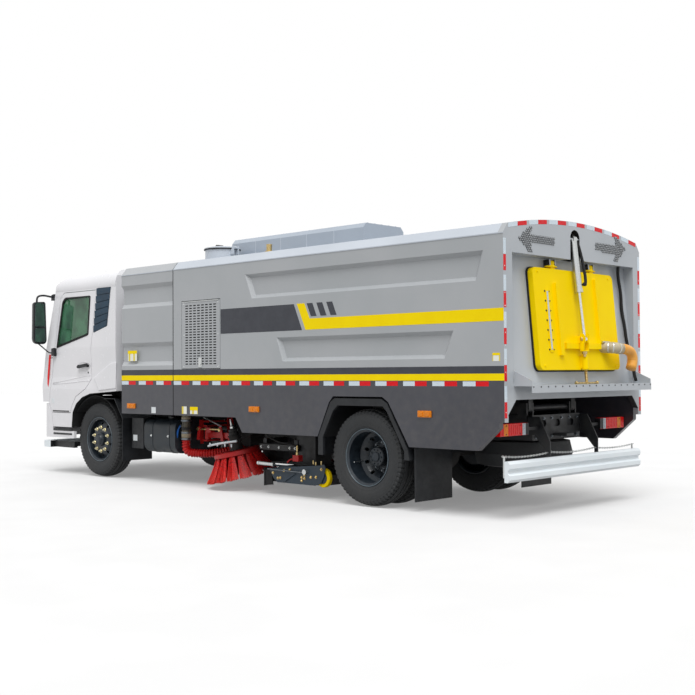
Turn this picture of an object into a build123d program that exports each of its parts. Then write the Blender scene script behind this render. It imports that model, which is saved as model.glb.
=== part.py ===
from build123d import *
import os
from math import atan2, degrees, hypot, radians, tan

os.makedirs("parts", exist_ok=True)

# A two-axle street sweeper truck. Millimetres. +X points forward, +Y to the left, +Z up.
# The origin is on the ground, below the middle of the overall length and width.

# ---- driving dimensions -------------------------------------------------------------------
overall_length = 8430
front_overhang = 1440          # front axle to the foremost face of the front wash bar
wheelbase = 5000
body_width = 2500
body_half = body_width / 2

front_axle_x = overall_length / 2 - front_overhang
rear_axle_x = front_axle_x - wheelbase


def ahead(distance):
    """X of a station a distance ahead of the front axle (negative is behind it)."""
    return front_axle_x + distance


# clearances
panel_gap = 8                  # between a door or lid and the panel around it
pin_clearance = 1              # radial, round a pin or spindle that turns
running_gap = 6                # between faces that slide or swing past each other
body_rest_gap = 5              # between the tipping body and the chassis rails

# wheels
tyre_radius = 506
tyre_width = 275
front_wheel_y = 982
rear_outer_wheel_y = 1062
rear_inner_wheel_y = 740
spindle_radius = 40

# chassis frame
rail_outer_y = 430
rail_height = 250
rail_flange = 80
rail_thickness = 10
rail_bottom_z = 700
rail_top_z = rail_bottom_z + rail_height
rail_mid_z = rail_bottom_z + rail_height / 2
frame_front_x = ahead(1180)
frame_rear_x = ahead(-6520)

# tipping body and fixed front module, seen from the side
module_front_x = ahead(-740)
module_rear_x = ahead(-1825)
body_front_x = ahead(-1840)
body_rear_x = ahead(-6785)
side_top_z = 2665
crest_y = 1176                 # where the slanted shoulder meets the crowned roof
crest_z = 2757
crown_z = 2868
side_wall = 60
roof_wall = 50
skirt_front_z = 875
skirt_mid_z = 705
skirt_rear_z = 645

# cab
cab_half = 1200
cab_wall = 45
cab_rear_x = ahead(-540)
cab_bottom_z = 655
cab_front_bottom_z = 1000      # underside of the front panel, above the bumper
cab_floor_z = 1200


def polygon_on(plane, points, grow=0):
    """A closed straight-sided face on a plane, grown or shrunk by a gap on every side."""
    with BuildSketch(plane) as face:
        with BuildLine():
            Polyline(*points, close=True)
        make_face()
        if grow:
            offset(amount=grow, kind=Kind.INTERSECTION)
    return face.sketch


def side_plane(y):
    """A plane facing right whose sketch axes are X and Z, at the given Y."""
    return Plane.XZ.offset(-y)


tip_pivot_x = ahead(-6420)
tip_pivot_z = 1020
tip_shaft_radius = 35
tip_lug = 20
spare_x = ahead(-6080)
spare_y = -60
spare_z = 550
nozzle_rod_x = (-3450, -3950)
nozzle_rod_y = 464
nozzle_rod_radius = 14
tow_plate = 24
tow_pin_radius = 20.5
tow_eye_x = frame_rear_x - 120
underrun_bracket = ((-6480, 940), (-6620, 940), (-6740, 700), (-6740, 360), (-6700, 360), (-6700, 600),
                    (-6560, 760), (-6480, 760))


# ---- chassis --------------------------------------------------------------------------------
cross_member_stations = (1100, -1450, -2300, -3150, -4250, -5750, -6460)
cross_member_size = (90, 150)

with BuildPart() as frame_rails:
    for side in (-1, 1):
        with BuildSketch(Plane.YZ.offset(frame_rear_x)):
            with Locations((side * (rail_outer_y - rail_flange / 2), rail_mid_z)):
                Rectangle(rail_flange, rail_height)
            with Locations((side * (rail_outer_y - rail_thickness - rail_flange / 2), rail_mid_z)):
                Rectangle(rail_flange, rail_height - 2 * rail_thickness, mode=Mode.SUBTRACT)
        extrude(amount=frame_front_x - frame_rear_x)
    with Locations(*[(ahead(s), 0, rail_mid_z + 20) for s in cross_member_stations]):
        Box(cross_member_size[0], 2 * (rail_outer_y - rail_thickness), cross_member_size[1])
    # lugs and cross shaft the body tips on
    for side in (-1, 1):
        for lug_y in (rail_outer_y + tip_lug / 2, 335):
            with Locations((tip_pivot_x, side * lug_y, 970)):
                Box(110, tip_lug, 200)
    with Locations(Location((tip_pivot_x, 0, tip_pivot_z), (90, 0, 0))):
        Cylinder(tip_shaft_radius, 2 * (rail_outer_y + tip_lug))
    # tail plate with its oval holes, towing plate with an upright pin hole, under-run brackets
    with BuildSketch(Plane.YZ.offset(frame_rear_x - 8)):
        with Locations((0, rail_mid_z)):
            Rectangle(2 * rail_outer_y, rail_height)
        with Locations((-250, rail_mid_z + 40), (0, rail_mid_z + 40), (250, rail_mid_z + 40)):
            SlotOverall(130, 70, mode=Mode.SUBTRACT)
    extrude(amount=8)
    with Locations((frame_rear_x - 88, 0, rail_bottom_z + 50)):
        Box(160, 130, tow_plate)
    with Locations((tow_eye_x, 0, rail_bottom_z + 50)):
        Cylinder(tow_pin_radius, 2 * tow_plate, mode=Mode.SUBTRACT)
    for side in (-1, 1):
        with BuildSketch(side_plane(side * (rail_outer_y + 7) + 7)):
            with BuildLine():
                Polyline(*[(ahead(x), z) for x, z in underrun_bracket], close=True)
            make_face()
        extrude(amount=14)
    # spare wheel bearer: a channel under the rails, a post and a clamping plate
    with Locations((spare_x, 0, rail_bottom_z - 5)):
        Box(120, 2 * rail_outer_y, 10)
    with Locations((spare_x, spare_y, (spare_z - 90 + rail_bottom_z) / 2)):
        Cylinder(32, rail_bottom_z - spare_z + 90)
    with Locations((spare_x, spare_y, spare_z - 98)):
        Cylinder(95, 16)
    # sleeves the sweeping nozzle's rods slide in
    for side in (-1, 1):
        for station in nozzle_rod_x:
            with Locations((ahead(station), side * nozzle_rod_y, 760)):
                Box(68, 68, 110)
            with Locations((ahead(station), side * nozzle_rod_y, 760)):
                Cylinder(nozzle_rod_radius + pin_clearance, 200, mode=Mode.SUBTRACT)
frame_rails.part.label = "frame_rails"
export_step(frame_rails.part, "parts/frame_rails.step")

# Front axle: a dropped beam with an upright eye at each end for the kingpin.
kingpin_y = 830
kingpin_radius = 24
eye_radius = 55
eye_height = 132
beam_depth = 90
front_beam_outline = ((-kingpin_y, 551), (-650, 551), (-560, 486), (560, 486), (650, 551), (kingpin_y, 551),
                      (kingpin_y, 461), (690, 461), (600, 396), (-600, 396), (-690, 461), (-kingpin_y, 461))
front_seat_z = 486

with BuildPart() as front_axle:
    extrude(polygon_on(Plane.YZ.offset(front_axle_x - beam_depth / 2), front_beam_outline), amount=beam_depth)
    for side in (-1, 1):
        with Locations((front_axle_x, side * kingpin_y, tyre_radius)):
            Cylinder(eye_radius, eye_height)
    for side in (-1, 1):
        with Locations((front_axle_x, side * kingpin_y, tyre_radius)):
            Cylinder(kingpin_radius + pin_clearance, 2 * eye_height, mode=Mode.SUBTRACT)
front_axle.part.label = "front_axle"
export_step(front_axle.part, "parts/front_axle.step")

# Steering knuckles: a fork over the axle eye, the kingpin through it and the wheel spindle.
lug_thickness = 25
lug_z = eye_height / 2 + running_gap + lug_thickness / 2
fork_web_y = kingpin_y + eye_radius + 10
fork_web = 25
spindle_tip_y = front_wheel_y + 20

with BuildPart() as knuckle_left:
    for level in (-lug_z, lug_z):
        with Locations((front_axle_x, kingpin_y, tyre_radius + level)):
            Cylinder(eye_radius, lug_thickness)
        with Locations((front_axle_x, (kingpin_y + fork_web_y + fork_web) / 2, tyre_radius + level)):
            Box(2 * eye_radius, fork_web_y + fork_web - kingpin_y, lug_thickness)
    with Locations((front_axle_x, fork_web_y + fork_web / 2, tyre_radius)):
        Box(2 * eye_radius, fork_web, 2 * lug_z + lug_thickness)
    with Locations((front_axle_x, kingpin_y, tyre_radius)):
        Cylinder(kingpin_radius, 2 * lug_z)
    with Locations((front_axle_x, (fork_web_y + spindle_tip_y) / 2, tyre_radius)):
        Cylinder(spindle_radius, spindle_tip_y - fork_web_y, rotation=(90, 0, 0))
knuckle_left.part.label = "knuckle_left"
export_step(knuckle_left.part, "parts/knuckle_left.step")

with BuildPart() as knuckle_right:
    add(mirror(knuckle_left.part, about=Plane.XZ))
knuckle_right.part.label = "knuckle_right"
export_step(knuckle_right.part, "parts/knuckle_right.step")

# Rear axle: tube, round differential case and a spindle into each hub.
rear_tube_radius = 72
rear_tube_end_y = 580
rear_spindle_end_y = 900
diff_radius = 205

with BuildPart() as rear_axle:
    with Locations((rear_axle_x, 0, tyre_radius)):
        Cylinder(rear_tube_radius, 2 * rear_tube_end_y, rotation=(90, 0, 0))
        Cylinder(spindle_radius, 2 * rear_spindle_end_y, rotation=(90, 0, 0))
        Cylinder(diff_radius, 230, rotation=(90, 0, 0))
    with Locations((rear_axle_x + 220, 0, tyre_radius + 20)):
        Cylinder(95, 260, rotation=(0, 90, 0))
    for side in (-1, 1):
        with Locations((rear_axle_x, side * 490, tyre_radius + 40)):
            Box(150, 90, 90)
rear_axle.part.label = "rear_axle"
export_step(rear_axle.part, "parts/rear_axle.step")
rear_seat_z = tyre_radius + 85

# Leaf springs. Columns: axle x, y of the spring, half length, z of the ends, z of the seat,
# y of the hanger's inner face, hanger bottom z, hanger top z.
leaf_width = 75
leaf_end = 18
spring_table = (
    (front_axle_x, rail_outer_y - leaf_width / 2, 700, 650, front_seat_z,
     rail_outer_y - leaf_width, 620, rail_bottom_z),
    (rear_axle_x, 490, 740, 700, rear_seat_z, rail_outer_y, 660, 780),
)

with BuildPart() as leaf_springs:
    for axle_x, y, half, end_z, seat_z, hanger_y, low_z, high_z in spring_table:
        with BuildSketch(side_plane(y + leaf_width / 2)):
            with BuildLine():
                top = ThreePointArc((axle_x - half, end_z), (axle_x, seat_z + 95), (axle_x + half, end_z))
                Line(top @ 1, (axle_x + half, end_z - leaf_end))
                low = ThreePointArc((axle_x + half, end_z - leaf_end), (axle_x, seat_z + 10),
                                    (axle_x - half, end_z - leaf_end))
                Line(low @ 1, top @ 0)
            make_face()
        extrude(amount=leaf_width)
        with Locations((axle_x, y, seat_z + 50)):
            Box(130, leaf_width, 100)
        for end in (-half, half):
            outer_y = y + leaf_width / 2
            with Locations((axle_x + end, (hanger_y + outer_y) / 2, (low_z + high_z) / 2)):
                Box(60, outer_y - hanger_y, high_z - low_z)
    mirror(about=Plane.XZ)
leaf_springs.part.label = "leaf_springs"
export_step(leaf_springs.part, "parts/leaf_springs.step")

# Engine and gearbox, one plain block under the cab and behind it.
engine_half = 340
with BuildPart() as engine_block:
    with Locations((ahead(-25), 0, 910)):
        Box(1150, 2 * engine_half, 620)
    with Locations((ahead(-900), 0, 780)):
        Box(600, 400, 360)
engine_block.part.label = "engine_block"
export_step(engine_block.part, "parts/engine_block.step")

# Propeller shaft between gearbox and axle.
shaft_front = Vector(ahead(-1210), 0, 680)
shaft_rear = Vector(rear_axle_x + 360, 0, tyre_radius + 20)
shaft_run = shaft_rear - shaft_front
with BuildPart() as drive_shaft:
    with BuildSketch(Plane(origin=shaft_front, z_dir=shaft_run)):
        Circle(50)
    extrude(amount=shaft_run.length)
drive_shaft.part.label = "drive_shaft"
export_step(drive_shaft.part, "parts/drive_shaft.step")

# ---- wheels ---------------------------------------------------------------------------------
# Half sections. Columns: offset outboard of the wheel's centre plane, radius.
rim_section = ((-115, 298), (-105, 298), (-95, 280), (95, 280), (105, 298), (115, 298),
               (115, 286), (100, 266), (-100, 266), (-115, 286))
front_disc_section = ((15, 270), (32, 270), (58, 222), (90, 172), (90, 60), (74, 60), (74, 166), (44, 212), (15, 262))
front_hub_section = ((-40, 41), (-40, 195), (64, 195), (64, 150), (76, 150), (76, 92), (112, 92), (124, 78),
                     (124, 0), (45, 0), (45, 41))
rear_disc_section = ((-90, 270), (-70, 270), (-95, 225), (-147, 172), (-147, 60), (-161, 60), (-161, 178),
                     (-110, 232), (-90, 262))
rear_hub_section = ((-120, 41), (-120, 185), (110, 185), (110, 140), (180, 140), (180, 100), (285, 100),
                    (295, 85), (295, 0), (185, 0), (185, 41))


def wheel_face(sections, side, axle_x):
    """A wheel's half section, above the axle on one side; each entry is (outline, centre y)."""
    with BuildSketch(Plane.YZ.offset(axle_x)) as face:
        for section, centre_y in sections:
            with BuildLine():
                Polyline(*[(side * (centre_y + out), tyre_radius + r) for out, r in section], close=True)
            make_face()
    return face.sketch


def wheel_axis(axle_x):
    return Axis((axle_x, 0, tyre_radius), (0, 1, 0))


def tyre_face(centre_y, axle_x):
    """The tyre's half section: beads on the rim, bulged sidewalls and a crowned tread."""
    half = tyre_width / 2
    low = tyre_radius + rim_section[0][1] + 1
    with BuildSketch(Plane.YZ.offset(axle_x)) as face:
        with BuildLine():
            bead = Polyline((centre_y - half + 20, low), (centre_y - 94, low), (centre_y - 94, tyre_radius + 281),
                            (centre_y + 94, tyre_radius + 281), (centre_y + 94, low), (centre_y + half - 20, low))
            out = ThreePointArc(bead @ 1, (centre_y + half, tyre_radius + 395),
                                (centre_y + half - 16, 2 * tyre_radius - 28))
            tread = ThreePointArc(out @ 1, (centre_y, 2 * tyre_radius), (centre_y - half + 16, 2 * tyre_radius - 28))
            ThreePointArc(tread @ 1, (centre_y - half, tyre_radius + 395), bead @ 0)
        make_face()
    return face.sketch


def hole_ring(axle_x, y_near, y_far, pitch_radius, hole_radius, count):
    """Round holes through a wheel disc, evenly round the axle."""
    ring = Plane(origin=(axle_x, (y_near + y_far) / 2, tyre_radius), z_dir=(0, 1, 0))
    with Locations(ring):
        with PolarLocations(pitch_radius, count):
            Cylinder(hole_radius, abs(y_far - y_near), mode=Mode.SUBTRACT)


for side, word in ((1, "left"), (-1, "right")):
    with BuildPart() as front_rim:
        front_sections = [(s, front_wheel_y) for s in (rim_section, front_disc_section, front_hub_section)]
        revolve(wheel_face(front_sections, side, front_axle_x), axis=wheel_axis(front_axle_x))
        hole_ring(front_axle_x, side * (front_wheel_y + 20), side * (front_wheel_y + 100), 212, 20, 10)
    front_rim.part.label = f"front_rim_{word}"
    export_step(front_rim.part, f"parts/front_rim_{word}.step")

    with BuildPart() as front_tyre:
        revolve(tyre_face(side * front_wheel_y, front_axle_x), axis=wheel_axis(front_axle_x))
    front_tyre.part.label = f"front_tyre_{word}"
    export_step(front_tyre.part, f"parts/front_tyre_{word}.step")

    with BuildPart() as rear_rims:
        mirrored_disc = [(-out, r) for out, r in rear_disc_section]
        rear_sections = ((rear_hub_section, rear_inner_wheel_y), (rear_disc_section, rear_outer_wheel_y),
                         (rim_section, rear_outer_wheel_y), (mirrored_disc, rear_inner_wheel_y),
                         (rim_section, rear_inner_wheel_y))
        revolve(wheel_face(rear_sections, side, rear_axle_x), axis=wheel_axis(rear_axle_x))
        hole_ring(rear_axle_x, side * 812, side * 990, 214, 20, 10)
    rear_rims.part.label = f"rear_rims_{word}"
    export_step(rear_rims.part, f"parts/rear_rims_{word}.step")

    with BuildPart() as rear_tyres:
        for centre_y in (rear_outer_wheel_y, rear_inner_wheel_y):
            revolve(tyre_face(side * centre_y, rear_axle_x), axis=wheel_axis(rear_axle_x))
    rear_tyres.part.label = f"rear_tyres_{word}"
    export_step(rear_tyres.part, f"parts/rear_tyres_{word}.step")

# ---- things hung on the frame ---------------------------------------------------------------
tank_inner_y = 560
tank_outer_y = 1100
with BuildPart() as fuel_tank:
    with BuildSketch(Plane.YZ.offset(ahead(-1670))):
        with Locations(((tank_inner_y + tank_outer_y) / 2, 598)):
            RectangleRounded(tank_outer_y - tank_inner_y, 430, 120)
    extrude(amount=650)
    for strap in (-1180, -1530):
        with BuildSketch(Plane.YZ.offset(ahead(strap) - 25)):
            with Locations(((tank_inner_y + tank_outer_y) / 2, 598)):
                RectangleRounded(tank_outer_y - tank_inner_y + 8, 438, 124)
        extrude(amount=50)
        with Locations((ahead(strap), (rail_outer_y + tank_inner_y) / 2, 760)):
            Box(60, tank_inner_y - rail_outer_y, 80)
fuel_tank.part.label = "fuel_tank"
export_step(fuel_tank.part, "parts/fuel_tank.step")

# Side lockers. Columns: side, rear x, front x, inner y, outer y, bottom z, top z.
locker_table = ((1, -990, -740, rail_outer_y, 1090, 420, 812),
                (-1, -1040, -740, rail_outer_y, 1090, 420, 812),
                (-1, -1670, -1100, 560, 1090, 400, 812))
with BuildPart() as side_lockers:
    for side, rear, front, inner_y, outer_y, low_z, high_z in locker_table:
        centre = (ahead((rear + front) / 2), side * (inner_y + outer_y) / 2, (low_z + high_z) / 2)
        with Locations(centre):
            Box(front - rear, outer_y - inner_y, high_z - low_z)
    with Locations((ahead(-1385), -(rail_outer_y + 560) / 2, 760)):
        Box(500, 560 - rail_outer_y, 80)
side_lockers.part.label = "side_lockers"
export_step(side_lockers.part, "parts/side_lockers.step")

# Guards behind the front wheels, clear of the tyre at full lock.
guard_outline = ((-220, 1062), (-455, 1062), (-640, 805), (-640, 250), (-632, 250), (-632, 802), (-450, 1054),
                 (-220, 1054))
with BuildPart() as front_mudguards:
    extrude(polygon_on(side_plane(1170), [(ahead(x), z) for x, z in guard_outline]), amount=1170 - 700)
    with Locations((ahead(-650), (rail_outer_y + 720) / 2, 745)):
        Box(20, 720 - rail_outer_y, 60)
    mirror(about=Plane.XZ)
front_mudguards.part.label = "front_mudguards"
export_step(front_mudguards.part, "parts/front_mudguards.step")

# ---- cab hull -------------------------------------------------------------------------------
cab_roof_z = 2850
# Plan sections of the cab, columns: z, x of the front face at its middle, corner radius.
cab_plan_sections = ((600, 1352, 170), (1000, 1385, 180), (1230, 1412, 190), (1690, 1350, 220), (2620, 1120, 260),
                     (2900, 1050, 280))
front_crown = 60
cab_side_section = ((1200, 600), (1200, 1180), (1188, 1350), (1190, 1750), (1150, 2545))
cab_back_top_x = -450


def plan_on(z, front_x, corner, half, rear_x):
    """A cab's outline from above: square tail, rounded front corners, gently bowed nose."""
    with BuildSketch(Plane.XY.offset(z)) as outline:
        with BuildLine():
            nose_x = front_x - front_crown
            Line((nose_x - corner, half), (rear_x, half))
            Line((rear_x, half), (rear_x, -half))
            Line((rear_x, -half), (nose_x - corner, -half))
            RadiusArc((nose_x - corner, -half), (nose_x, -half + corner), -corner)
            ThreePointArc((nose_x, -half + corner), (front_x, 0), (nose_x, half - corner))
            RadiusArc((nose_x, half - corner), (nose_x - corner, half), -corner)
        make_face()
    return outline.sketch.faces()[0]


def cab_hull(inset, bottom_z):
    """The cab's closed outer form, drawn in on every side by an inset, from a floor height up."""
    with BuildPart() as hull:
        for low, high in zip(cab_plan_sections, cab_plan_sections[1:]):
            loft([plan_on(z, ahead(front_x) - inset, corner - inset / 2, body_half - inset, cab_rear_x - 40)
                  for z, front_x, corner in (low, high)], ruled=True)
        # across: straight lower sides, leaning windows, rounded shoulders, crowned roof
        with BuildSketch(Plane.YZ.offset(ahead(-800))):
            with BuildLine():
                right = [(-(y - inset), z) for y, z in reversed(cab_side_section)]
                left = [(y - inset, z) for y, z in cab_side_section]
                walls = Polyline(*right, *left)
                crest = (1010 - inset, 2780 - inset)
                shoulder = ThreePointArc(left[-1], (1108 - inset, 2712 - inset), crest)
                crown = ThreePointArc(crest, (0, cab_roof_z - inset), (-crest[0], crest[1]))
                ThreePointArc(crown @ 1, (-(1108 - inset), 2712 - inset), right[0])
            make_face()
        extrude(amount=2400, mode=Mode.INTERSECT)
        # along: near-upright back, roof falling away to the windscreen
        with BuildSketch(side_plane(body_half)):
            with BuildLine():
                back = Polyline((ahead(1600), bottom_z), (cab_rear_x + inset, bottom_z),
                                (cab_rear_x + inset, 1250), (ahead(cab_back_top_x) + inset, 2700),
                                (ahead(-380) + inset, cab_roof_z - inset), (ahead(150), cab_roof_z - inset + 2))
                brow = ThreePointArc(back @ 1, (ahead(640), 2800 - inset), (ahead(1000) - inset / 2, 2650 - inset))
                Polyline(brow @ 1, (ahead(1600), 2300), back @ 0)
            make_face()
        extrude(amount=body_width, mode=Mode.INTERSECT)
    return hull.part


cab_outer = cab_hull(0, cab_bottom_z)
cab_inner = cab_hull(cab_wall, cab_floor_z)
glass_outer = cab_hull(12, cab_floor_z)
glass_inner = cab_hull(18, cab_floor_z)

# Outlines seen from the left, columns: x ahead of the axle, z.
door_outline = ((0, 2530), (800, 2530), (885, 2460), (985, 1745), (1075, 1250), (1110, 1005), (1040, 850),
                (560, 850), (515, 960), (425, 1075), (180, 1188), (45, 1325), (66, 1720), (44, 1945))
door_window = ((138, 2450), (760, 2450), (820, 2400), (925, 1762), (150, 1925))
wheel_cut = ((560, 500), (531, 655), (506, 865), (418, 983), (269, 1074), (73, 1124), (-560, 1162), (-700, 1162),
             (-700, 500))
bumper_cut = ((1003, 500), (1003, 680), (1036, 842), (1122, 1000), (1700, 1000), (1700, 500))
vent_outline = ((-25, 2548), (-345, 2548), (-297, 2026), (20, 1945))
# Windscreen seen from the front, columns: y, z.
screen_outline = ((-900, 1735), (900, 1735), (1010, 1800), (960, 2480), (890, 2550), (-890, 2550), (-960, 2480),
                  (-1010, 1800))


def at_cab(points):
    return [(ahead(x), z) for x, z in points]


wall_reach = 200               # how far a side cut runs in from outside the cab

with BuildPart() as cab_shell:
    add(cab_outer)
    add(cab_inner, mode=Mode.SUBTRACT)
    # room for wheels, engine and frame below the floor
    for cut in (wheel_cut, bumper_cut):
        extrude(polygon_on(side_plane(body_half), at_cab(cut)), amount=body_width, mode=Mode.SUBTRACT)
    with Locations((ahead(300), 0, 855)):
        Box(2400, 2 * 920, 600, mode=Mode.SUBTRACT)
    # engine tunnel
    with Locations((ahead(40), 0, 1270)):
        Box(1160, 2 * 430, 150)
    with Locations((ahead(40), 0, 1210)):
        Box(1240, 2 * 390, 190, mode=Mode.SUBTRACT)
    for side in (1, -1):
        plane = side_plane(body_half) if side == 1 else side_plane(-body_half + wall_reach)
        for cut in (door_outline, vent_outline):
            extrude(polygon_on(plane, at_cab(cut)), amount=wall_reach, mode=Mode.SUBTRACT)
    extrude(polygon_on(Plane.YZ.offset(ahead(700)), screen_outline), amount=900, mode=Mode.SUBTRACT)
cab_shell.part.label = "cab_shell"
export_step(cab_shell.part, "parts/cab_shell.step")

# Doors: the same wall as the cab, cut out with a gap all round, hung on their front edge.
door_cavity = cab_hull(cab_wall, cab_bottom_z)
with BuildPart() as cab_door_left:
    add(cab_outer)
    add(door_cavity, mode=Mode.SUBTRACT)
    extrude(polygon_on(side_plane(body_half), at_cab(door_outline), -panel_gap), amount=wall_reach,
            mode=Mode.INTERSECT)
    extrude(polygon_on(side_plane(body_half), at_cab(door_window)), amount=wall_reach, mode=Mode.SUBTRACT)
cab_door_left.part.label = "cab_door_left"
export_step(cab_door_left.part, "parts/cab_door_left.step")

with BuildPart() as door_glass_left:
    add(glass_outer)
    add(glass_inner, mode=Mode.SUBTRACT)
    extrude(polygon_on(side_plane(body_half), at_cab(door_window)), amount=wall_reach, mode=Mode.INTERSECT)
door_glass_left.part.label = "door_glass_left"
export_step(door_glass_left.part, "parts/door_glass_left.step")

with BuildPart() as cab_door_right:
    add(mirror(cab_door_left.part, about=Plane.XZ))
cab_door_right.part.label = "cab_door_right"
export_step(cab_door_right.part, "parts/cab_door_right.step")

with BuildPart() as door_glass_right:
    add(mirror(door_glass_left.part, about=Plane.XZ))
door_glass_right.part.label = "door_glass_right"
export_step(door_glass_right.part, "parts/door_glass_right.step")

with BuildPart() as windscreen:
    add(glass_outer)
    add(glass_inner, mode=Mode.SUBTRACT)
    extrude(polygon_on(Plane.YZ.offset(ahead(700)), screen_outline), amount=900, mode=Mode.INTERSECT)
windscreen.part.label = "windscreen"
export_step(windscreen.part, "parts/windscreen.step")

# Cab furniture.
seat_y = 690
with BuildPart() as seats:
    with Locations((ahead(-110), seat_y, 1290)):
        Box(420, 400, 180)
    with Locations((ahead(-90), seat_y, 1440)):
        Box(520, 490, 120)
    with BuildSketch(side_plane(seat_y + 240)):
        with BuildLine():
            Polyline((ahead(-370), 1440), (ahead(-230), 1440), (ahead(-300), 2180), (ahead(-400), 2180), close=True)
        make_face()
    extrude(amount=480)
    mirror(about=Plane.XZ)
seats.part.label = "seats"
export_step(seats.part, "parts/seats.step")

column_base = Vector(ahead(960), 620, 1610)
wheel_centre = Vector(ahead(690), 620, 1850)
with BuildPart() as dashboard:
    add(cab_hull(cab_wall + 4, cab_floor_z))
    with Locations((ahead(1200), 0, 1585)):
        Box(620, body_width, 270, mode=Mode.INTERSECT)
    with Locations((ahead(1120), 0, (cab_floor_z + 1500) / 2)):
        Box(150, 1700, 1500 - cab_floor_z)
    with BuildSketch(Plane(origin=column_base, z_dir=wheel_centre - column_base)):
        Circle(28)
    extrude(amount=(wheel_centre - column_base).length)
    with Locations(Plane(origin=wheel_centre, z_dir=wheel_centre - column_base)):
        Torus(215, 16)
        Cylinder(45, 40)
        for turn in (0, 120, 240):
            with Locations(Location((0, 0, 0), (0, 0, turn))):
                Box(215, 30, 16, align=(Align.MIN, Align.CENTER, Align.CENTER))
dashboard.part.label = "dashboard"
export_step(dashboard.part, "parts/dashboard.step")

# Mirrors: a bent arm from the top of the pillar to a tall housing.
mirror_centre = Vector(ahead(1120), 1370, 2110)
mirror_size = (110, 200, 600)
with BuildPart() as mirrors:
    with Locations(mirror_centre):
        Box(*mirror_size)
    fillet(mirrors.edges().filter_by(Axis.Z), radius=40)
    with BuildLine():
        FilletPolyline((ahead(1120), 1370, 2400), (ahead(1120), 1370, 2495), (ahead(900), 1130, 2470), radius=35)
    with BuildSketch(Plane(origin=(ahead(1120), 1370, 2400), z_dir=(0, 0, 1))):
        Circle(13)
    sweep()
    with Locations((ahead(1092), 1235, 1850)):
        Box(26, 260, 26)
    add(cab_outer, mode=Mode.SUBTRACT)
    mirror(about=Plane.XZ)
mirrors.part.label = "mirrors"
export_step(mirrors.part, "parts/mirrors.step")

# ---- bumper, steps and wash bar ---------------------------------------------------------------
bumper_bottom_z = 505
bumper_top_z = cab_front_bottom_z - 25
bumper_front_x = 1372
bumper_corner = 180
bumper_wall = 40
bumper_outline = ((1011, 600), (1011, 680), (1044, 842), (1130, bumper_top_z), (1700, bumper_top_z),
                  (1700, bumper_bottom_z), (470, bumper_bottom_z), (470, 600))
with BuildPart() as front_bumper:
    extrude(plan_on(bumper_bottom_z, ahead(bumper_front_x), bumper_corner, cab_half, ahead(400)),
            amount=bumper_top_z - bumper_bottom_z)
    extrude(plan_on(bumper_bottom_z, ahead(bumper_front_x) - bumper_wall, bumper_corner - 20,
                    cab_half - bumper_wall, ahead(300)), amount=600, mode=Mode.SUBTRACT)
    extrude(polygon_on(side_plane(body_half), at_cab(bumper_outline)), amount=body_width, mode=Mode.INTERSECT)
    for side in (-1, 1):
        with Locations((ahead(1259), side * 390, 790)):
            Box(158, 70, 160)
front_bumper.part.label = "front_bumper"
export_step(front_bumper.part, "parts/front_bumper.step")

# Wash bar: a white box bar wrapped round the nose, on black arms back to the frame.
wash_bar_z = (360, 450)
with BuildPart() as front_wash_bar:
    extrude(plan_on(wash_bar_z[0], ahead(front_overhang), 170, 1190, ahead(1090)),
            amount=wash_bar_z[1] - wash_bar_z[0])
    extrude(plan_on(wash_bar_z[0], ahead(front_overhang) - 110, 90, 1080, ahead(1000)), amount=200,
            mode=Mode.SUBTRACT)
    with Locations((ahead(830), 1105, 405)):
        Box(520, 50, 80)
    with Locations((ahead(800), (1105 + 390) / 2, 400)):
        Box(70, 1105 - 390, 60)
    with Locations((ahead(800), 390, (370 + rail_bottom_z) / 2)):
        Box(70, 60, rail_bottom_z - 370)
    mirror(about=Plane.XZ)
front_wash_bar.part.label = "front_wash_bar"
export_step(front_wash_bar.part, "parts/front_wash_bar.step")

# ---- fixed front module -----------------------------------------------------------------------
groove = 35
module_side = ((body_half, skirt_front_z), (body_half, 1488), (body_half - groove, 1540), (body_half - groove, 1732),
               (body_half, 1780), (body_half, 2228), (body_half - groove, 2280), (body_half - groove, 2473),
               (body_half, 2522), (body_half, side_top_z), (crest_y, crest_z))
module_floor_z = 960
with BuildPart() as front_module:
    with BuildSketch(Plane.YZ.offset(module_rear_x)):
        with BuildLine():
            left = Polyline(*module_side)
            crown = ThreePointArc((crest_y, crest_z), (0, crown_z), (-crest_y, crest_z))
            right = Polyline(*[(-y, z) for y, z in reversed(module_side)])
            Line(right @ 1, left @ 0)
        make_face()
    extrude(amount=module_front_x - module_rear_x)
    inner_half = body_half - groove - 40
    centre_x = (module_front_x + module_rear_x) / 2
    with Locations((centre_x, 0, (module_floor_z + 50 + 2640) / 2)):
        Box(module_front_x - module_rear_x - 100, 2 * inner_half, 2640 - module_floor_z - 50, mode=Mode.SUBTRACT)
    with Locations((centre_x, 0, module_floor_z - 100)):
        Box(1200, 2 * (body_half - side_wall), 200, mode=Mode.SUBTRACT)
front_module.part.label = "front_module"
export_step(front_module.part, "parts/front_module.step")

# ---- tipping body -----------------------------------------------------------------------------
frame_plate = 60
body_panel_rear_x = body_rear_x + frame_plate
body_floor_z = 1140
floor_thickness = 50
body_side_outline = ((-1840, skirt_front_z), (-3004, skirt_front_z), (-3120, skirt_mid_z), (-4350, skirt_mid_z),
                     (-4526, 1074), (-4586, 1135), (-5280, 1135), (-5361, 1085), (-5634, skirt_rear_z),
                     (-6479, skirt_rear_z), (-6725, 860), (-6725, side_top_z), (-1840, side_top_z))
grille_opening = (-2000, -2738, 1437, 2265)
recess_table = (
    ((-3182, 2513), (-3296, 2233), (-6473, 2235), (-6556, 2515)),
    ((-3711, 1777), (-3806, 1511), (-6090, 1511), (-6200, 1777)),
)
recess_depth = 40

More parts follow.
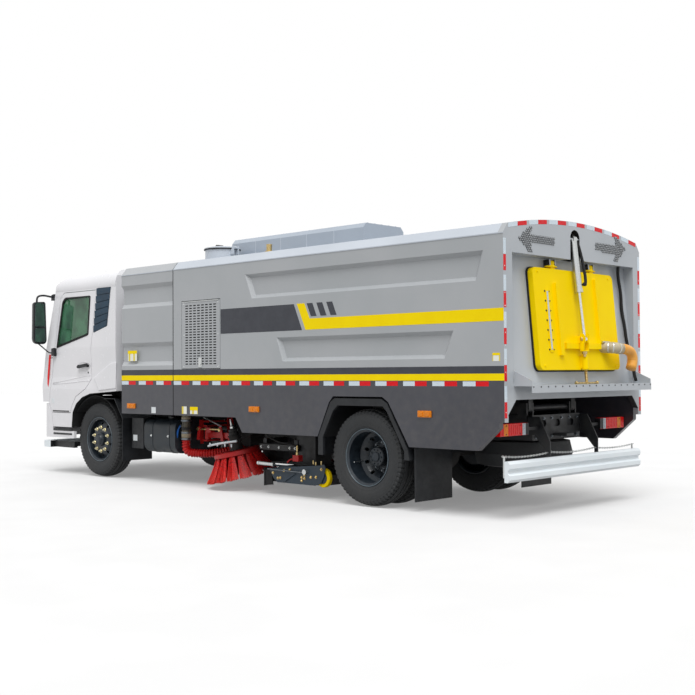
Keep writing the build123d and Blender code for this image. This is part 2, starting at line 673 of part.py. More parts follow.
with BuildPart() as body_side_left:
    extrude(polygon_on(side_plane(body_half), at_cab(body_side_outline)), amount=side_wall)
    rear, front, low, high = grille_opening[1], grille_opening[0], grille_opening[2], grille_opening[3]
    with Locations((ahead((rear + front) / 2), body_half, (low + high) / 2)):
        Box(front - rear, 4 * side_wall, high - low, mode=Mode.SUBTRACT)
    for recess in recess_table:
        extrude(polygon_on(side_plane(body_half), at_cab(recess)), amount=recess_depth, taper=45,
                mode=Mode.SUBTRACT)
body_side_left.part.label = "body_side_left"
export_step(body_side_left.part, "parts/body_side_left.step")

with BuildPart() as body_side_right:
    add(mirror(body_side_left.part, about=Plane.XZ))
body_side_right.part.label = "body_side_right"
export_step(body_side_right.part, "parts/body_side_right.step")

grille_thickness = 24
with BuildPart() as grille_door_left:
    with Locations((ahead((rear + front) / 2), body_half - grille_thickness / 2, (low + high) / 2)):
        Box(front - rear - 2 * panel_gap, grille_thickness, high - low - 2 * panel_gap)
    with Locations(Location((ahead((rear + front) / 2), body_half - grille_thickness / 2, (low + high) / 2),
                            (90, 0, 0))):
        with GridLocations(76, 32, 8, 23):
            Box(52, 13, 2 * grille_thickness, mode=Mode.SUBTRACT)
grille_door_left.part.label = "grille_door_left"
export_step(grille_door_left.part, "parts/grille_door_left.step")

with BuildPart() as grille_door_right:
    add(mirror(grille_door_left.part, about=Plane.XZ))
grille_door_right.part.label = "grille_door_right"
export_step(grille_door_right.part, "parts/grille_door_right.step")


def crown_sketch(plane, half, shoulder_z, edge_y, edge_z, top_z, bottom_z):
    """The body's cross-section above a level: upright side, slanted shoulder, crowned top."""
    with BuildSketch(plane) as shape:
        with BuildLine():
            left = Polyline((half, bottom_z), (half, shoulder_z), (edge_y, edge_z))
            crown = ThreePointArc(left @ 1, (0, top_z), (-edge_y, edge_z))
            right = Polyline(crown @ 1, (-half, shoulder_z), (-half, bottom_z))
            Line(right @ 1, left @ 0)
        make_face()
    return shape.sketch


cowl_half = 350
cowl_top_z = 3100
cowl_front_x = ahead(-1895)
cowl_rear_x = ahead(-4200)
hatch_x = ahead(-2070)
hatch_y = 660
hatch_rim_z = 2925
hatch_radius = 215
hatch_hinge_x = hatch_x - 250
hatch_hinge_z = hatch_rim_z + 18
hatch_pin_radius = 8
hatch_lug = ((-268, 2860), (-205, 2860), (-205, 2920), (-236, 2925), (-236, 2962), (-268, 2962))

with BuildPart() as body_roof:
    extrude(crown_sketch(Plane.YZ.offset(body_panel_rear_x), body_half, side_top_z + 1, crest_y, crest_z, crown_z,
                         side_top_z), amount=body_front_x - body_panel_rear_x)
    # cowl with bevelled long edges
    with BuildSketch(Plane.YZ.offset(cowl_rear_x)):
        with BuildLine():
            Polyline((cowl_half, 2700), (cowl_half, cowl_top_z - 55), (cowl_half - 50, cowl_top_z),
                     (-cowl_half + 50, cowl_top_z), (-cowl_half, cowl_top_z - 55), (-cowl_half, 2700), close=True)
        make_face()
    extrude(amount=cowl_front_x - cowl_rear_x)
    # neck of the inspection hatch
    with Locations((hatch_x, hatch_y, (2700 + hatch_rim_z) / 2)):
        Cylinder(hatch_radius, hatch_rim_z - 2700)
    for lug in (-40, 40):
        extrude(polygon_on(side_plane(hatch_y + lug + 6), [(hatch_x + x, z) for x, z in hatch_lug]), amount=12)
    with Locations(Location((hatch_hinge_x, hatch_y, hatch_hinge_z), (90, 0, 0))):
        Cylinder(hatch_pin_radius, 92)
    extrude(crown_sketch(Plane.YZ.offset(body_panel_rear_x), body_half - roof_wall, side_top_z + 1,
                         crest_y - roof_wall, crest_z - roof_wall, crown_z - roof_wall, side_top_z - 400),
            amount=body_front_x - body_panel_rear_x, mode=Mode.SUBTRACT)
    with Locations((hatch_x, hatch_y, 2800)):
        Cylinder(hatch_radius - 30, 600, mode=Mode.SUBTRACT)
body_roof.part.label = "body_roof"
export_step(body_roof.part, "parts/body_roof.step")

with BuildPart() as hatch_lid:
    with Locations((hatch_x, hatch_y, hatch_rim_z + 15)):
        Cylinder(hatch_radius + 8, 20)
    with Locations((hatch_x, hatch_y, hatch_rim_z + 25)):
        Cone(hatch_radius - 20, hatch_radius - 60, 16, align=(Align.CENTER, Align.CENTER, Align.MIN))
    with Locations(((hatch_hinge_x + hatch_x - hatch_radius) / 2 + 10, hatch_y, hatch_hinge_z)):
        Box(60, 56, 14)
    with Locations(Location((hatch_hinge_x, hatch_y, hatch_hinge_z), (90, 0, 0))):
        Cylinder(16, 56)
    with Locations(Location((hatch_hinge_x, hatch_y, hatch_hinge_z), (90, 0, 0))):
        Cylinder(hatch_pin_radius + pin_clearance, 80, mode=Mode.SUBTRACT)
hatch_lid.part.label = "hatch_lid"
export_step(hatch_lid.part, "parts/hatch_lid.step")

beam_low = rail_top_z + body_rest_gap
bulkhead_thickness = 40
with BuildPart() as body_floor:
    with Locations(((body_front_x + ahead(-6630)) / 2, 0, body_floor_z + floor_thickness / 2)):
        Box(body_front_x - ahead(-6630), 2 * (body_half - side_wall), floor_thickness)
    # two beams under the floor, rounded where the tipping shaft passes
    for side in (-1, 1):
        with Locations(((body_front_x + tip_pivot_x) / 2, side * 386, (beam_low + body_floor_z) / 2)):
            Box(body_front_x - tip_pivot_x, 72, body_floor_z - beam_low)
        with Locations(Location((tip_pivot_x, side * 386, tip_pivot_z), (90, 0, 0))):
            Cylinder(62, 72)
        with Locations((tip_pivot_x, side * 386, (tip_pivot_z + body_floor_z) / 2)):
            Box(124, 72, body_floor_z - tip_pivot_z)
    with Locations(Location((tip_pivot_x, 0, tip_pivot_z), (90, 0, 0))):
        Cylinder(tip_shaft_radius + pin_clearance, body_width, mode=Mode.SUBTRACT)
    # upright walls at the front and behind the grille compartment
    for station in (body_front_x - bulkhead_thickness, ahead(-2790)):
        extrude(crown_sketch(Plane.YZ.offset(station), body_half - side_wall, side_top_z - 2, crest_y - roof_wall - 6,
                             crest_z - roof_wall - 6, crown_z - roof_wall - 2, body_floor_z + floor_thickness),
                amount=bulkhead_thickness)
body_floor.part.label = "body_floor"
export_step(body_floor.part, "parts/body_floor.step")

# Rear frame: a plate across the tail with the door recess in it, the recess's leaning back wall
# and its waste outlet.
recess_half = 1110
recess_z = (1277, 2490)
lower_opening_z = 1120
back_wall_top = (-6665, 2490)
back_wall_foot = (-6775, 1277)
lean = Vector(back_wall_top[0] - back_wall_foot[0], 0, back_wall_top[1] - back_wall_foot[1]).normalized()
rear_normal = Vector(-lean.Z, 0, lean.X)
back_wall = 55
deep_plate = 90
outlet = (1320, 860)           # width and height of the waste outlet
door_centre = Vector(ahead((back_wall_top[0] + back_wall_foot[0]) / 2), 0, (recess_z[0] + recess_z[1]) / 2)
door_plane = Plane(origin=door_centre, x_dir=(0, -1, 0), z_dir=rear_normal)
slot_y = 30
slot_width = 170

door_hinge_up = 560            # hinge axis above the leaf's middle, along the leaf
door_hinge_out = 45
door_lug_offsets = (-364, 343)
hinge_arm_width = 64
hinge_lug = 20
door_pin_radius = 12
strut_pivot = Vector(ahead(-6760), slot_y, 2700)
strut_eye = Vector(ahead(-6880), slot_y, 1700)
strut_pin_radius = 14

with BuildPart() as rear_frame:
    extrude(crown_sketch(Plane.YZ.offset(body_rear_x), body_half, side_top_z, crest_y, crest_z, crown_z, 915),
            amount=frame_plate)
    with Locations((body_rear_x + frame_plate + deep_plate / 2, 0, (lower_opening_z + 2640) / 2)):
        Box(deep_plate, 2 * (body_half - side_wall) - 4, 2640 - lower_opening_z)
    with BuildSketch(Plane.YZ.offset(body_rear_x - 10)):
        with Locations((0, (recess_z[0] + recess_z[1]) / 2)):
            Rectangle(2 * recess_half, recess_z[1] - recess_z[0])
        with BuildLine():
            Polyline((-1190, 800), (-1190, 985), (-1065, lower_opening_z), (1065, lower_opening_z), (1190, 985),
                     (1190, 800), close=True)
        make_face()
    extrude(amount=frame_plate + deep_plate + 20, mode=Mode.SUBTRACT)
    # slot for the door's cylinder, blind at the back
    with BuildSketch(Plane.YZ.offset(body_rear_x - 10)):
        with Locations((slot_y, 2790 - slot_width / 2)):
            Circle(slot_width / 2)
        with Locations((slot_y, (2480 + 2790 - slot_width / 2) / 2)):
            Rectangle(slot_width, 2790 - slot_width / 2 - 2480)
    extrude(amount=frame_plate + deep_plate - 10, mode=Mode.SUBTRACT)
    # leaning back wall of the recess, with the waste outlet
    with BuildSketch(side_plane(recess_half)):
        with BuildLine():
            Polyline((ahead(back_wall_top[0]), back_wall_top[1]), (ahead(back_wall_foot[0]), back_wall_foot[1]),
                     (ahead(back_wall_foot[0]) + back_wall, back_wall_foot[1]),
                     (ahead(back_wall_top[0]) + back_wall, back_wall_top[1]), close=True)
        make_face()
    extrude(amount=2 * recess_half)
    with Locations(door_plane):
        Box(*outlet, 4 * back_wall, mode=Mode.SUBTRACT)
    # pin of the cylinder across its slot
    with Locations(Location(tuple(strut_pivot), (90, 0, 0))):
        Cylinder(strut_pin_radius, slot_width + 30)
    # door hinge: a pair of lugs and a pin each side
    for offset_x in door_lug_offsets:
        for side in (-1, 1):
            lug_x = offset_x + side * (hinge_arm_width / 2 + running_gap + hinge_lug / 2)
            with Locations(door_plane * Location((lug_x, door_hinge_up, 25))):
                Box(hinge_lug, 56, 90)
        with Locations(door_plane * Location((offset_x, door_hinge_up, door_hinge_out), (0, 90, 0))):
            Cylinder(door_pin_radius, hinge_arm_width + 2 * running_gap + hinge_lug)
    # shelf below the door, gussets at its ends
    with BuildSketch(side_plane(1100)):
        with BuildLine():
            Polyline((body_rear_x, 1255), (ahead(-6990), 1255), (ahead(-6990), 1185), (ahead(-6982), 1185),
                     (ahead(-6982), 1247), (body_rear_x, 1247), close=True)
        make_face()
    extrude(amount=2200)
    for y in (1100, -1090):
        extrude(polygon_on(side_plane(y), ((body_rear_x, 1247), (ahead(-6985), 1247), (ahead(-6985), 1300),
                                           (body_rear_x, 1390))), amount=10)
rear_frame.part.label = "rear_frame"
export_step(rear_frame.part, "parts/rear_frame.step")

# Rear door on its leaning plane: rubber seal, yellow leaf with ribs, two hinge arms.
door_size = (1470, 990)
door_ribs = ((-365, -355, 352), (370, -270, 428))     # upright ribs: across, foot, head
seal_thickness = 18
leaf_thickness = 55

with BuildPart() as door_seal:
    with BuildSketch(door_plane.offset(1)):
        RectangleRounded(door_size[0] + 24, door_size[1] + 24, 70)
        Rectangle(outlet[0] + 20, outlet[1] + 20, mode=Mode.SUBTRACT)
    extrude(amount=seal_thickness - 1)
door_seal.part.label = "door_seal"
export_step(door_seal.part, "parts/door_seal.step")

strut_eye_local = door_plane.to_local_coords(strut_eye)
strut_eye_up = strut_eye_local.Y
strut_eye_out = strut_eye_local.Z

with BuildPart() as rear_door:
    with BuildSketch(door_plane.offset(seal_thickness)):
        RectangleRounded(*door_size, 60)
    extrude(amount=leaf_thickness)
    with BuildSketch(door_plane.offset(seal_thickness + leaf_thickness)):
        for rib_x, rib_foot, rib_head in door_ribs:
            with Locations((rib_x, (rib_foot + rib_head) / 2)):
                Rectangle(60, rib_head - rib_foot)
        with Locations((28, -260)):
            Rectangle(640, 60)
    extrude(amount=30)
    # hinge arms with a round eye
    for offset_x in door_lug_offsets:
        with Locations(door_plane * Location((offset_x, (470 + door_hinge_up) / 2, door_hinge_out))):
            Box(hinge_arm_width, door_hinge_up - 470, 44)
        with Locations(door_plane * Location((offset_x, door_hinge_up, door_hinge_out), (0, 90, 0))):
            Cylinder(24, hinge_arm_width)
        with Locations(door_plane * Location((offset_x, door_hinge_up, door_hinge_out), (0, 90, 0))):
            Cylinder(door_pin_radius + pin_clearance, 2 * hinge_arm_width, mode=Mode.SUBTRACT)
    # fork for the cylinder's rod, a pin head on the outside of each cheek
    for side in (-1, 1):
        with Locations(door_plane * Location((-slot_y + side * 26, strut_eye_up, (66 + strut_eye_out + 26) / 2))):
            Box(12, 70, strut_eye_out + 26 - 66)
        with Locations(door_plane * Location((-slot_y + side * 36, strut_eye_up, strut_eye_out), (0, 90, 0))):
            Cylinder(16, 10)
rear_door.part.label = "rear_door"
export_step(rear_door.part, "parts/rear_door.step")

# Cylinder that lifts the rear door: barrel hung in the slot, rod to the door's fork.
strut_run = strut_eye - strut_pivot
strut_length = strut_run.length
barrel_length = 545
barrel_radius = 37
rod_radius = 16
rod_start = 330
along_strut = Plane(origin=strut_pivot, x_dir=(0, 1, 0), z_dir=strut_run)

with BuildPart() as door_barrel:
    with Locations(along_strut):
        Cylinder(barrel_radius, barrel_length - 20, align=(Align.CENTER, Align.CENTER, Align.MIN))
    with Locations(along_strut * Location((0, 0, 0), (0, 90, 0))):
        Cylinder(34, 60)
    with Locations(along_strut * Location((0, 0, barrel_length - 20))):
        Cylinder(barrel_radius + 5, 30)
    with Locations(along_strut * Location((0, 0, 0), (0, 90, 0))):
        Cylinder(strut_pin_radius + pin_clearance, 120, mode=Mode.SUBTRACT)
    with Locations(along_strut * Location((0, 0, 60))):
        Cylinder(rod_radius + pin_clearance, barrel_length, align=(Align.CENTER, Align.CENTER, Align.MIN),
                 mode=Mode.SUBTRACT)
door_barrel.part.label = "door_barrel"
export_step(door_barrel.part, "parts/door_barrel.step")

with BuildPart() as door_rod:
    with Locations(along_strut * Location((0, 0, rod_start))):
        Cylinder(rod_radius, strut_length - rod_start, align=(Align.CENTER, Align.CENTER, Align.MIN))
    with Locations(along_strut * Location((0, 0, strut_length), (0, 90, 0))):
        Cylinder(26, 30)
    with Locations(along_strut * Location((0, 0, strut_length), (0, 90, 0))):
        Cylinder(11, 60, mode=Mode.SUBTRACT)
door_rod.part.label = "door_rod"
export_step(door_rod.part, "parts/door_rod.step")

# ---- rear of the chassis ----------------------------------------------------------------------
flare_outer = ((-4360, 500), (-4360, 700), (-4545, 1075), (-4605, 1115), (-5265, 1115), (-5345, 1070),
               (-5615, 620), (-5640, 500))
flare_inner = ((-4430, 480), (-4430, 700), (-4585, 985), (-4650, 1040), (-5285, 1040), (-5345, 985),
               (-5570, 600), (-5570, 480))
sheet = 10
with BuildPart() as rear_mudguards:
    extrude(polygon_on(side_plane(body_half), at_cab(flare_outer)), amount=690)
    extrude(polygon_on(side_plane(body_half + 5), at_cab(flare_inner)), amount=40, mode=Mode.SUBTRACT)
    extrude(polygon_on(side_plane(body_half - 32), at_cab(flare_outer), -sheet), amount=700, mode=Mode.SUBTRACT)
    with Locations((ahead(-5000), 0, 412)):
        Box(2000, 3000, 200, mode=Mode.SUBTRACT)
    # arms to the frame rails
    for station in (-4700, -5200):
        with Locations((ahead(station), (rail_outer_y + 600) / 2, 1100)):
            Box(60, 600 - rail_outer_y, 10)
        with Locations((ahead(station), rail_outer_y + 5, 1000)):
            Box(60, 10, 200)
    # rubber flaps on a steel strip behind the wheels
    with Locations((ahead(-5666), 910, 300)):
        Box(12, 580, 400)
    with Locations((ahead(-5666), 910, 565)):
        Box(20, 580, 130)
    with Locations((ahead(-5666), (rail_outer_y + 640) / 2, 585)):
        Box(40, 640 - rail_outer_y, 50)
    with Locations((ahead(-5666), rail_outer_y + 10, 680)):
        Box(40, 20, 200)
    mirror(about=Plane.XZ)
rear_mudguards.part.label = "rear_mudguards"
export_step(rear_mudguards.part, "parts/rear_mudguards.step")

underrun_section = ((-6740, 360), (-6740, 555), (-6776, 555), (-6800, 530), (-6800, 490), (-6776, 470),
                    (-6776, 445), (-6800, 425), (-6800, 385), (-6776, 360))
with BuildPart() as underrun_bar:
    extrude(polygon_on(side_plane(1200), at_cab(underrun_section)), amount=2400)
underrun_bar.part.label = "underrun_bar"
export_step(underrun_bar.part, "parts/underrun_bar.step")

with BuildPart() as tail_lamps:
    with Locations((ahead(-6600), 895, 832)):
        Box(60, 470, 115)
    with Locations((ahead(-6600), (rail_outer_y + 14 + 665) / 2, 830)):
        Box(24, 665 - rail_outer_y - 14, 30)
    mirror(about=Plane.XZ)
tail_lamps.part.label = "tail_lamps"
export_step(tail_lamps.part, "parts/tail_lamps.step")


def spare_face(section):
    """A wheel section laid flat, its outer side down."""
    return polygon_on(Plane.XZ.offset(-spare_y), [(spare_x + r, spare_z - out) for out, r in section])


spare_tyre_section = ((-118, 299), (-94, 299), (-94, 281), (94, 281), (94, 299), (118, 299), (138, 395),
                      (122, 478), (0, 506), (-122, 478), (-138, 395))
with BuildPart() as spare_wheel:
    for section in (rim_section, front_disc_section, spare_tyre_section):
        revolve(spare_face(section), axis=Axis((spare_x, spare_y, 0), (0, 0, 1)))
spare_wheel.part.label = "spare_wheel"
export_step(spare_wheel.part, "parts/spare_wheel.step")

# ---- sweeping gear ------------------------------------------------------------------------------
arm_pivot = (ahead(-1950), 800)
arm_pin_radius = 20
with BuildPart() as brush_brackets:
    with Locations((arm_pivot[0], rail_outer_y + 10, 730)):
        Box(100, 20, 400)
    for z in (550, 730):
        with Locations((arm_pivot[0], (rail_outer_y + 850) / 2, z)):
            Box(90, 850 - rail_outer_y, 20)
    with Locations((arm_pivot[0], arm_pivot[1], 640)):
        Cylinder(arm_pin_radius, 200)
    mirror(about=Plane.XZ)
brush_brackets.part.label = "brush_brackets"
export_step(brush_brackets.part, "parts/brush_brackets.step")

brush_centre = (ahead(-2560), 850, 460)
brush_plane = Plane(origin=brush_centre, z_dir=(0.15, 0.143, 0.978))
arm_end = (ahead(-2540), 868)
arm_turn = degrees(atan2(arm_end[1] - arm_pivot[1], arm_end[0] - arm_pivot[0]))
arm_reach = hypot(arm_end[0] - arm_pivot[0], arm_end[1] - arm_pivot[1])
disc_radius = 270
disc_thickness = 30
bundle_count = 15
bundle_radius_upper = 245      # pitch radius of the bristle bundles at the disc
bundle_radius_lower = 375      # and at their tips
bundle_drop = 300
shaft_radius = 18

with BuildPart() as brush_arm_left:
    with Locations((*arm_pivot, 640)):
        Cylinder(42, 148)
    with Locations(Location((*arm_pivot, 625), (0, 0, arm_turn))):
        Box(arm_reach, 60, 70, align=(Align.MIN, Align.CENTER, Align.CENTER))
    with Locations((*arm_pivot, 640)):
        Cylinder(arm_pin_radius + pin_clearance, 300, mode=Mode.SUBTRACT)
    with Locations(brush_plane * Location((0, 0, running_gap))):
        Cylinder(82, 165, align=(Align.CENTER, Align.CENTER, Align.MIN))
    with Locations(brush_plane * Location((0, 0, running_gap))):
        Cylinder(shaft_radius, disc_thickness + 2 * running_gap + 10, align=(Align.CENTER, Align.CENTER, Align.MAX))
    with Locations(brush_plane * Location((0, 0, -disc_thickness - running_gap))):
        Cylinder(40, 10, align=(Align.CENTER, Align.CENTER, Align.MAX))
brush_arm_left.part.label = "brush_arm_left"
export_step(brush_arm_left.part, "parts/brush_arm_left.step")

bundle_lean = degrees(atan2(bundle_radius_lower - bundle_radius_upper, bundle_drop))
bundle_length = hypot(bundle_radius_lower - bundle_radius_upper, bundle_drop)
with BuildPart() as brush_left:
    with Locations(brush_plane):
        Cylinder(disc_radius, disc_thickness, align=(Align.CENTER, Align.CENTER, Align.MAX))
    with Locations(brush_plane):
        Cylinder(shaft_radius + pin_clearance, 3 * disc_thickness, mode=Mode.SUBTRACT)
    with Locations(brush_plane * Location((0, 0, -10 - bundle_drop / 2))):
        with PolarLocations((bundle_radius_upper + bundle_radius_lower) / 2, bundle_count):
            with Locations(Location((0, 0, 0), (0, -bundle_lean, 0))):
                Cone(32, 17, bundle_length)
brush_left.part.label = "brush_left"
export_step(brush_left.part, "parts/brush_left.step")

with BuildPart() as brush_arm_right:
    add(mirror(brush_arm_left.part, about=Plane.XZ))
brush_arm_right.part.label = "brush_arm_right"
export_step(brush_arm_right.part, "parts/brush_arm_right.step")

with BuildPart() as brush_right:
    add(mirror(brush_left.part, about=Plane.XZ))
brush_right.part.label = "brush_right"
export_step(brush_right.part, "parts/brush_right.step")

# Suction nozzle: a wide hood open to the ground, a duct up beside the frame, rods to slide on.
nozzle_half = 950
nozzle_bottom_z = 140
nozzle_top_z = 320
nozzle_side = ((-3262, nozzle_bottom_z), (-3262, 230), (-3420, nozzle_top_z), (-3980, nozzle_top_z), (-4150, 250),
               (-4150, nozzle_bottom_z))
nozzle_cavity = ((-3274, 100), (-3274, 224), (-3425, nozzle_top_z - 12), (-3976, nozzle_top_z - 12), (-4138, 242),
                 (-4138, 100))
duct_centre = (ahead(-3700), 660)
duct_size = (300, 260)
duct_top_z = 1010
caster_x = ahead(-4195)
caster_z = 235
caster_y = 995
caster_radius = 105
with BuildPart() as nozzle:
    extrude(polygon_on(side_plane(nozzle_half), at_cab(nozzle_side)), amount=2 * nozzle_half)
    with Locations((*duct_centre, (nozzle_top_z - 20 + duct_top_z) / 2)):
        Box(*duct_size, duct_top_z - nozzle_top_z + 20)
    extrude(polygon_on(side_plane(nozzle_half - 12), at_cab(nozzle_cavity)), amount=2 * nozzle_half - 24,
            mode=Mode.SUBTRACT)
    with Locations((*duct_centre, 700)):
        Box(duct_size[0] - 20, duct_size[1] - 20, 900, mode=Mode.SUBTRACT)
    for side in (-1, 1):
        for station in nozzle_rod_x:
            with Locations((ahead(station), side * nozzle_rod_y, (nozzle_top_z - 5 + 880) / 2)):
                Cylinder(nozzle_rod_radius, 885 - nozzle_top_z)
        # caster bracket and axle stub
        with Locations((ahead(-4165), side * (nozzle_half - 6), 235)):
            Box(130, 12, 90)
        with Locations(Location((caster_x, side * 985, caster_z), (90, 0, 0))):
            Cylinder(12, 82)
        with Locations(Location((caster_x, side * 1030, caster_z), (90, 0, 0))):
            Cylinder(20, 8)
    # rubber flap along the front edge
    with Locations((ahead(-3256), 0, 180)):
        Box(12, 2 * nozzle_half, 100)
nozzle.part.label = "nozzle"
export_step(nozzle.part, "parts/nozzle.step")

for side, word in ((1, "left"), (-1, "right")):
    with BuildPart() as caster:
        with Locations(Location((caster_x, side * caster_y, caster_z), (90, 0, 0))):
            Cylinder(caster_radius, 50)
        fillet(caster.edges().filter_by(GeomType.CIRCLE), radius=10)
        with Locations(Location((caster_x, side * caster_y, caster_z), (90, 0, 0))):
            Cylinder(12 + pin_clearance, 80, mode=Mode.SUBTRACT)
    caster.part.label = f"caster_{word}"
    export_step(caster.part, f"parts/caster_{word}.step")

# Standpipe under the front module and the corrugated hose from it to the water pump.
hose_radius = 47
pipe_top = (ahead(-1765), 1000)
with BuildPart() as water_pump:
    with Locations((ahead(-2160), 260, 550)):
        Box(240, 260, 300)
    with Locations((*pipe_top, (560 + module_floor_z) / 2)):
        Cylinder(52, module_floor_z - 560)
    with Locations((*pipe_top, 700)):
        Cylinder(60, 30)
water_pump.part.label = "water_pump"
export_step(water_pump.part, "parts/water_pump.step")

hose_points = [Vector(*pipe_top, 560), Vector(*pipe_top, 400), Vector(ahead(-2010), 830, 385),
               Vector(ahead(-2150), 620, 420), Vector(ahead(-2150), 390, 420)]


def bend_radii(points):
    """The widest bend at each corner that leaves a little straight run between bends."""
    radii = []
    for before, corner, after in zip(points, points[1:], points[2:]):
        run_in, run_out = corner - before, after - corner
        half_turn = radians(run_in.get_angle(run_out)) / 2
        radii.append(0.45 * min(run_in.length, run_out.length) / tan(half_turn))
    return radii


with BuildPart() as side_hose:
    with BuildLine() as hose_line:
        FilletPolyline(*hose_points, radius=bend_radii(hose_points))
    with BuildSketch(Plane(origin=hose_line.line @ 0, z_dir=hose_line.line % 0)):
        Circle(hose_radius)
    sweep()
side_hose.part.label = "side_hose"
export_step(side_hose.part, "parts/side_hose.step")

# ---- nose: louvred grille on the cab, lamp lenses on the bumper ----------------------------------
grille_outline = ((-640, 1200), (640, 1200), (600, 1560), (-600, 1560))
with BuildPart() as nose_grille:
    add(cab_hull(-16, cab_floor_z - 60))
    extrude(polygon_on(Plane.YZ.offset(ahead(1200)), grille_outline), amount=400, mode=Mode.INTERSECT)
    for row in range(5):
        with Locations((ahead(1400), 0, 1250 + 64 * row)):
            Box(400, 1120 - 14 * row, 34, mode=Mode.SUBTRACT)
    add(cab_outer, mode=Mode.SUBTRACT)

# the black louvred panels behind the doors go with it
with BuildPart() as cab_grilles:
    add(cab_hull(5, cab_floor_z))
    add(cab_inner, mode=Mode.SUBTRACT)
    extrude(polygon_on(side_plane(body_half), at_cab(vent_outline)), amount=wall_reach, mode=Mode.INTERSECT)
    mirror(about=Plane.XZ)
    add(nose_grille.part)
cab_grilles.part.label = "cab_grilles"
export_step(cab_grilles.part, "parts/cab_grilles.step")

with BuildPart() as headlamps:
    extrude(plan_on(690, ahead(bumper_front_x) + 14, bumper_corner + 14, cab_half + 14, ahead(900)), amount=170)
    extrude(plan_on(680, ahead(bumper_front_x), bumper_corner, cab_half, ahead(880)), amount=200,
            mode=Mode.SUBTRACT)
    with Locations((ahead(1300), 920, 775), (ahead(1300), -920, 775)):
        Box(400, 340, 400, mode=Mode.INTERSECT)
headlamps.part.label = "headlamps"
export_step(headlamps.part, "parts/headlamps.step")
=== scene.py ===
"""Street sweeper truck: finishes and trim over the construction model, in a plain studio."""

import random
from math import cos, hypot, pi, radians, sin, sqrt

import bmesh
import bpy
from mathutils import Matrix, Vector


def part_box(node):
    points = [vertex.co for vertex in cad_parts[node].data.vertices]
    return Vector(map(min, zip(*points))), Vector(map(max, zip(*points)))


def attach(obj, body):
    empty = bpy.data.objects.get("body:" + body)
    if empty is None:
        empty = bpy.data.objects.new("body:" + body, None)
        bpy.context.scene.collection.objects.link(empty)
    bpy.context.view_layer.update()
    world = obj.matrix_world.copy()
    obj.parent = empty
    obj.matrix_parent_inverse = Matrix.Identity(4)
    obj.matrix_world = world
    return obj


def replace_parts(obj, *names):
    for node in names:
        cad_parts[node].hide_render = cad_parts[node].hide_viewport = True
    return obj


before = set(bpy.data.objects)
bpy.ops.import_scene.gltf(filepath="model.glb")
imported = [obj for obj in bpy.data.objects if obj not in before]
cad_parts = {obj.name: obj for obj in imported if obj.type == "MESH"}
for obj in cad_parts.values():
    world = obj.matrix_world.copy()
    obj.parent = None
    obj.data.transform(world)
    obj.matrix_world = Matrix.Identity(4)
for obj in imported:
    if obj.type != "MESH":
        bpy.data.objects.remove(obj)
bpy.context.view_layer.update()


# ---- places taken from the frame ---------------------------------------------------------------

def middle(node):
    """The middle of a construction piece."""
    low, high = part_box(node)
    return (low + high) / 2


FRONT_AXLE_X = middle("front_tyre_left").x
REAR_AXLE_X = middle("rear_tyres_left").x
AXLE_Z = middle("front_tyre_left").z
SIDE_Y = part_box("body_side_left")[1].y
BODY_REAR_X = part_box("body_side_left")[0].x - 0.06
BODY_FRONT_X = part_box("body_side_left")[1].x
MODULE_REAR_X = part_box("front_module")[0].x
MODULE_FRONT_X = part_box("front_module")[1].x
SKIRT_TOP_Z = 1.300            # dark paint below, body grey above
MM = 0.001
FILM = 0.0012                  # how far a film or tape stands off the paint, in metres
SIDES = ((1, "left"), (-1, "right"))


def ahead(mm):
    """X in metres of a station so many millimetres ahead of the front axle."""
    return FRONT_AXLE_X + mm * MM


def run(side, *places):
    """Places given as millimetres ahead of the front axle, metres out to one side and metres up."""
    return [(ahead(x), side * y, z) for x, y, z in places]


# ---- camera ------------------------------------------------------------------------------------

CAMERA_PLACE = (-12.65095, 9.43568, 1.37542)   # metres from the front axle, on the road
CAMERA_TURN = (-46.20358, 1.35778, -0.35110)   # yaw, pitch and roll in degrees
CAMERA_SENSOR, CAMERA_LENS = 36, 56.468        # millimetres
CAMERA_REACH = 300                             # metres


def camera():
    """Low and well back off the left rear corner."""
    held = bpy.data.objects.new("camera", bpy.data.cameras.new("camera"))
    bpy.context.scene.collection.objects.link(held)
    yaw, pitch, roll = (radians(turn) for turn in CAMERA_TURN)
    forward = Vector((cos(yaw) * cos(pitch), sin(yaw) * cos(pitch), sin(pitch)))
    level = Vector((sin(yaw), -cos(yaw), 0))
    upright = level.cross(forward)
    right = cos(roll) * level + sin(roll) * upright
    up = -sin(roll) * level + cos(roll) * upright
    facing = Matrix((right, up, -forward)).transposed().to_4x4()
    held.matrix_world = Matrix.Translation(Vector(CAMERA_PLACE) + Vector((FRONT_AXLE_X, 0, 0))) @ facing
    held.data.sensor_width = CAMERA_SENSOR
    held.data.lens = CAMERA_LENS
    held.data.clip_end = CAMERA_REACH
    bpy.context.scene.camera = held


camera()


# ---- finishes ----------------------------------------------------------------------------------

def linear(hex_colour):
    """The linear values of an sRGB hex colour."""
    channels = [int(hex_colour[i:i + 2], 16) / 255 for i in (1, 3, 5)]
    return tuple(c / 12.92 if c <= 0.04045 else ((c + 0.055) / 1.055) ** 2.4 for c in channels) + (1.0,)


def add_node(tree, kind, links=None, **settings):
    """Adds a node. Links names its inputs, each with a number, a hex colour, or what another node gives."""
    made = tree.nodes.new("ShaderNode" + kind)
    for name, value in settings.items():
        setattr(made, name, value)
    for name, value in (links or {}).items():
        slot = next(s for s in made.inputs if s.name == name and s.enabled)
        if isinstance(value, bpy.types.Node):
            value = next(s for s in value.outputs if s.enabled)
        if isinstance(value, bpy.types.NodeSocket):
            tree.links.new(value, slot)
        else:
            slot.default_value = linear(value) if isinstance(value, str) else value
    return made


